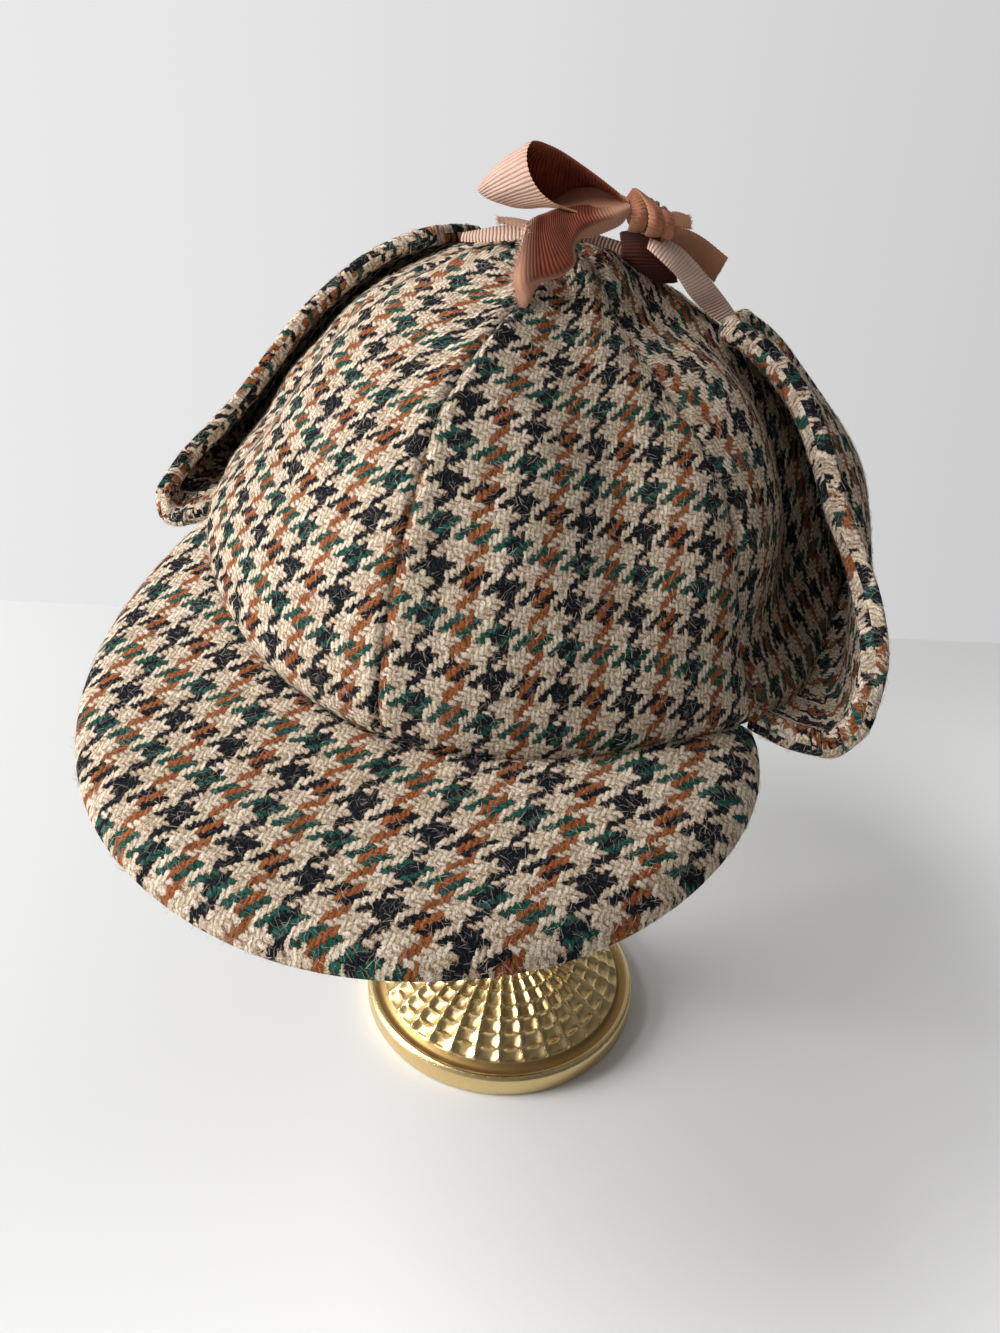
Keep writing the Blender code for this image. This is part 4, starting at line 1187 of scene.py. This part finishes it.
def frayed_ends(thread):
    """Loose threads along the ribbon's cut ends."""
    chance = np.random.default_rng(7)
    points, faces = [], []
    for table, count, reach in CUT_ENDS:
        end = smooth_rows(np.array(table[-1]) * MM, 12)
        before = smooth_rows(np.array(table[-2]) * MM, 12)
        for _ in range(count):
            place = chance.uniform(0, len(end) - 1.001)
            low, share = int(place), place % 1
            start = end[low] * (1 - share) + end[low + 1] * share
            ahead = unit(start - before[low])
            side = unit(end[min(low + 1, len(end) - 1)] - end[low])
            path = [start - ahead * 0.0004]
            heading = ahead + side * chance.normal(0, 0.5) + chance.normal(0, 0.35, 3)
            for _ in range(4):
                path.append(path[-1] + unit(heading) * reach * chance.uniform(0.15, 0.30))
                heading = heading + chance.normal(0, 0.7, 3)
            first = len(points)
            for number, middle in enumerate(path):
                width = THREAD_RADIUS * (1 - 0.15 * number)
                for angle in THREE_CORNERS:
                    around = side * cos(angle) + np.cross(side, ahead) * sin(angle)
                    points.append(middle + width * around)
            faces += thread_faces(first, len(path))
            faces += [(first, first + 2, first + 1), (first + 12, first + 13, first + 14)]
    piece = place_mesh("frayed_ends", points, faces, [thread])
    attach(piece, "root")


def wool_kinds():
    """A few bent fibres, each a thin three-sided thread of unit length."""
    kinds = bpy.data.collections.new("wool_kinds")
    chance = np.random.default_rng(11)
    for number in range(WOOL_KINDS):
        along = np.linspace(-0.5, 0.5, WOOL_RINGS)
        bend = chance.normal(0, 0.10, 3)
        rise = 0.15 * (1 - (2 * along) ** 2) + bend[0] * along
        aside = bend[1] * np.sin(along * 5) + bend[2] * np.cos(along * 4)
        width = WOOL_THICKNESS / WOOL_LENGTH / 2
        points = [
            (x, y + width * cos(angle), z + width * sin(angle))
            for x, y, z in zip(along, aside, rise - 0.06) for angle in THREE_CORNERS
        ]
        mesh = bpy.data.meshes.new(f"fibre_{number}")
        mesh.from_pydata(points, [], thread_faces(0, WOOL_RINGS))
        kinds.objects.link(bpy.data.objects.new(f"fibre_{number}", mesh))
    return kinds


def wool_tree(kinds, wool):
    """Scatters bent fibres over the outer faces of a piece, lying nearly along them."""
    group = bpy.data.node_groups.new("loose_wool", "GeometryNodeTree")
    sockets = group.interface
    sockets.new_socket("Geometry", in_out="INPUT", socket_type="NodeSocketGeometry")
    for name, kind, value in WOOL_INPUTS:
        sockets.new_socket(name, in_out="INPUT", socket_type=kind).default_value = value
    sockets.new_socket("Geometry", in_out="OUTPUT", socket_type="NodeSocketGeometry")
    tree = Nodes(group)
    start = tree.node("NodeGroupInput")
    density, length, seed = (tree.other(start, name) for name, _, _ in WOOL_INPUTS)
    index = tree.node("GeometryNodeInputMaterialIndex")
    outer = tree.node("FunctionNodeCompare", {"data_type": "INT", "operation": "EQUAL"}, {2: index})
    over = {"Mesh": start, "Selection": outer, "Density": density, "Seed": seed}
    scatter = tree.node("GeometryNodeDistributePointsOnFaces", None, over)
    fibres = tree.node("GeometryNodeCollectionInfo", None, {"Collection": kinds, "Separate Children": True})
    reach = {0: (-0.5, -0.45, 0.0), 1: (0.5, 0.45, 2 * pi), "Seed": seed}
    heading = tree.node("FunctionNodeRandomValue", {"data_type": "FLOAT_VECTOR"}, reach)
    turning = {"Rotation": tree.other(scatter, "Rotation"), "Rotate By": heading}
    turn = tree.node("FunctionNodeRotateRotation", {"rotation_space": "LOCAL"}, turning)
    size = tree.node("FunctionNodeRandomValue", {"data_type": "FLOAT"}, {2: 0.45, 3: 1.35}, 1)
    lying = {"Points": scatter, "Instance": fibres, "Pick Instance": True, "Rotation": turn}
    placed = tree.node("GeometryNodeInstanceOnPoints", None, {**lying, "Scale": length * size})
    real = tree.node("GeometryNodeRealizeInstances", None, {0: placed})
    painted = tree.node("GeometryNodeSetMaterial", None, {"Geometry": real, "Material": wool})
    tree.feed(group.nodes.new("NodeGroupOutput"), {0: painted})


def loose_wool(piece, node, tree, seed):
    """The stray fibres of one piece, as a plain mesh of their own."""
    modifier = piece.modifiers.new("loose_wool", "NODES")
    modifier.node_group = tree
    for item in tree.interface.items_tree:
        if item.name == "Seed":
            modifier[item.identifier] = seed
    seen = piece.evaluated_get(bpy.context.evaluated_depsgraph_get())
    mesh = bpy.data.meshes.new_from_object(seen)
    piece.modifiers.remove(modifier)
    fuzz = put(f"{node}_wool", mesh)
    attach(fuzz, "root")


def turned(profile, angle):
    """A profile of radius and height in mm, turned about the stand's axis."""
    rows = np.asarray(profile, float)
    return ringed(rows[:, 0, None], angle, rows[:, 1, None]) * MM


def brass_stand(brass):
    """The stand turned about its axis, its disc a dome of beaded ribs and thin rings over shallow scoops."""
    cell = np.linspace(0, 1, CELL_COLUMNS + 1)[:-1]
    cell = cell - 0.11 * np.sin(4 * pi * cell) / 2
    around = (np.arange(DISC_RIBS)[:, None] + cell).ravel()[None, :]
    angle = around * 2 * pi / DISC_RIBS + RIB_TURN
    disc = smooth_rows(DISC_PROFILE, 12)
    length = arc(disc, 0)
    disc = resampled(disc, np.linspace(0, length[-1], DISC_RINGS * CELL_ROWS + 1), length)
    deep = np.linspace(0, DISC_RINGS, len(disc))[:, None]
    radius = disc[:, 0, None]
    cell_width = 2 * pi * radius / DISC_RIBS
    from_rib = np.abs((around + 0.5) % 1 - 0.5) * cell_width
    from_ring = np.abs((deep + 0.5) % 1 - 0.5) * length[-1] / DISC_RINGS
    half_rib = np.minimum(RIB_HALF_WIDTH, cell_width * 0.24)
    bead = 0.62 + 0.38 * np.clip(from_ring / 1.1, 0, 1) ** 0.7
    rib = RIB_HEIGHT * np.sqrt(np.clip(1 - (from_rib / half_rib) ** 2, 0, 1)) * bead
    ring = RING_HEIGHT * np.sqrt(np.clip(1 - (from_ring / RING_HALF_WIDTH) ** 2, 0, 1))
    ring = ring + 0 * from_rib
    hollow = np.abs(np.sin(pi * around)) ** 0.8 * np.abs(np.sin(pi * deep)) ** 0.6
    relief = np.maximum(np.maximum(rib, ring), 0) - SCOOP_DEPTH * hollow
    fade = np.clip(np.minimum(deep, DISC_RINGS - deep) / 0.25, 0, 1)
    relief = relief * fade
    out = np.gradient(disc, axis=0)
    normal = unit(np.stack([out[:, 1], -out[:, 0]], axis=-1))
    outer = radius + normal[:, 0, None] * relief
    height = disc[:, 1, None] + normal[:, 1, None] * relief
    plate = ringed(outer, angle, height) * MM
    foot, column = turned(STAND_PROFILE, angle), turned(COLUMN_PROFILE, angle)
    points = np.concatenate([foot, plate[1:-1], column])
    # The groove mark: beside the ribs and rings as tarnish and painted shade, and in the scoops as painted
    # shade
    beside = np.minimum(from_rib - half_rib, from_ring - RING_HALF_WIDTH).clip(0)
    corner = bell(beside, 0.35) * (rib + ring < 0.1)
    shaded = np.maximum(corner, 0.35 * hollow)[1:-1]
    groove = np.concatenate([0.0 * foot[..., 0], shaded, 0.0 * column[..., 0]])
    groove[len(foot) - FOOT_GROOVE_ROWS:len(foot)] = 1.0
    number = numbered(*points.shape[:2])
    quads = grid_faces(np.concatenate([number, number[:, :1]], axis=1)).tolist()
    marks = {"groove": groove}
    dress(place_mesh("stand_brass", points.reshape(-1, 3), quads, [brass], None, marks, sharp=40), "stand")


def bow():
    """The ties and the one-loop bow."""
    silks = {name: ribbon_finish(name, *tones) for name, tones in GROSGRAINS.items()}
    for name, (node, table, face, back, facing, paler) in RIBBONS.items():
        ribbon(name, node, table, silks[face], silks[back], facing, paler)
    frayed_ends(thread_finish())
    knot(silks[KNOT_PAINTED_SHADE])
    for name, (held, rests_on, others) in SHEETS.items():
        others = [bpy.data.objects[other] for other in others]


# Stage

def table_top():
    """A white table whose back edge crosses behind the object, as in the photograph."""
    along = (TABLE_EDGE_RIGHT - TABLE_EDGE_LEFT).normalized()
    front = Vector((along.y, -along.x, 0)) * TABLE_DEPTH
    left, right = TABLE_EDGE_LEFT - along * TABLE_BEYOND, TABLE_EDGE_RIGHT + along * TABLE_BEYOND
    corners = [left, right, right + front, left + front]
    mesh = bpy.data.meshes.new("table_top")
    mesh.from_pydata([tuple(corner) for corner in corners], [], [(3, 2, 1, 0)])
    mesh.materials.append(table_finish())
    put("table_top", mesh)


def camera():
    right = Vector((cos(CAMERA_TURN), sin(CAMERA_TURN), 0))
    forward = Vector((-right.y, right.x, 0)) * cos(CAMERA_DIP) - Vector((0, 0, sin(CAMERA_DIP)))
    up = right.cross(forward)
    turned_right = right * cos(CAMERA_ROLL) + up * sin(CAMERA_ROLL)
    turned_up = up * cos(CAMERA_ROLL) - right * sin(CAMERA_ROLL)
    data = bpy.data.cameras.new("camera")
    data.sensor_width = SENSOR
    data.lens = SENSOR * FOCAL_PIXELS / FRAME_HEIGHT
    data.clip_start = 0.01
    made = put("camera", data)
    turn = Matrix((turned_right, turned_up, -forward)).transposed().to_4x4()
    made.matrix_world = Matrix.Translation(CAMERA_PLACE) @ turn
    bpy.context.scene.camera = made


def window(turn_deg, lift_deg, power):
    """A soft window at that turn from +X towards +Y, that high above the level."""
    turn, lift = radians(turn_deg), radians(lift_deg)
    away = Vector((cos(turn) * cos(lift), sin(turn) * cos(lift), sin(lift)))
    data = bpy.data.lights.new("window", "AREA")
    data.shape = "DISK"
    data.size = WINDOW_SIZE
    data.energy = power
    light = put("window", data)
    facing = (-away).to_track_quat("-Z", "Y").to_matrix().to_4x4()
    light.matrix_world = Matrix.Translation(AIM + away * WINDOW_DISTANCE) @ facing


def studio():
    """A pale room: bright wall ahead and to the left, dim behind the camera, and two windows."""
    world = bpy.data.worlds.new("pale_room")
    bpy.context.scene.world = world
    world.use_nodes = True
    sky = Nodes(world.node_tree)
    x, y, z = sky.split(sky.node("ShaderNodeTexCoord"))
    left = x * -cos(CAMERA_TURN) + y * -sin(CAMERA_TURN)
    ahead = x * -sin(CAMERA_TURN) + y * cos(CAMERA_TURN)
    wall = sky.step(left, -0.9, 0.8, WALL_RIGHT, WALL_LEFT)
    wall = wall * sky.step(left, -0.85, -0.55, BEYOND_RIGHT, 1.0)
    room = sky.step(left, -0.6, 1.0, ROOM_RIGHT, ROOM_LEFT)
    level = sky.blend(sky.step(ahead, -0.1, 0.45), room, wall)
    level = sky.blend(sky.step(z, 0.35, 0.9), level, CEILING)
    sky.feed(sky.tree.nodes["Background"], {0: sky.point(level, level, level), 1: 1.0})
    for row in WINDOWS:
        window(**dict(zip(WINDOW_COLUMNS, row)))
    bpy.context.scene.view_settings.view_transform = "Standard"


def main():
    tweed = tweed_finish()
    lining = lining_finish()
    wool_tree(wool_kinds(), hair_finish())
    for number, name in enumerate(GORES):
        crown_gore(name, GORE_SPAN * number, GORE_SPAN * (number + 1), tweed, lining)
    peak("peak_front", 0.0, PEAK_SKEW, tweed)
    peak("peak_back", pi, 0.0, tweed)
    ear_flap("ear_flap_left", FLAP_LEFT, 1, FLAP_LEFT_BORDER, tweed)
    ear_flap("ear_flap_right", FLAP_RIGHT, -1, FLAP_RIGHT_BORDER, tweed)
    bow()
    brass_stand(brass_finish())
    table_top()
    camera()
    studio()


main()
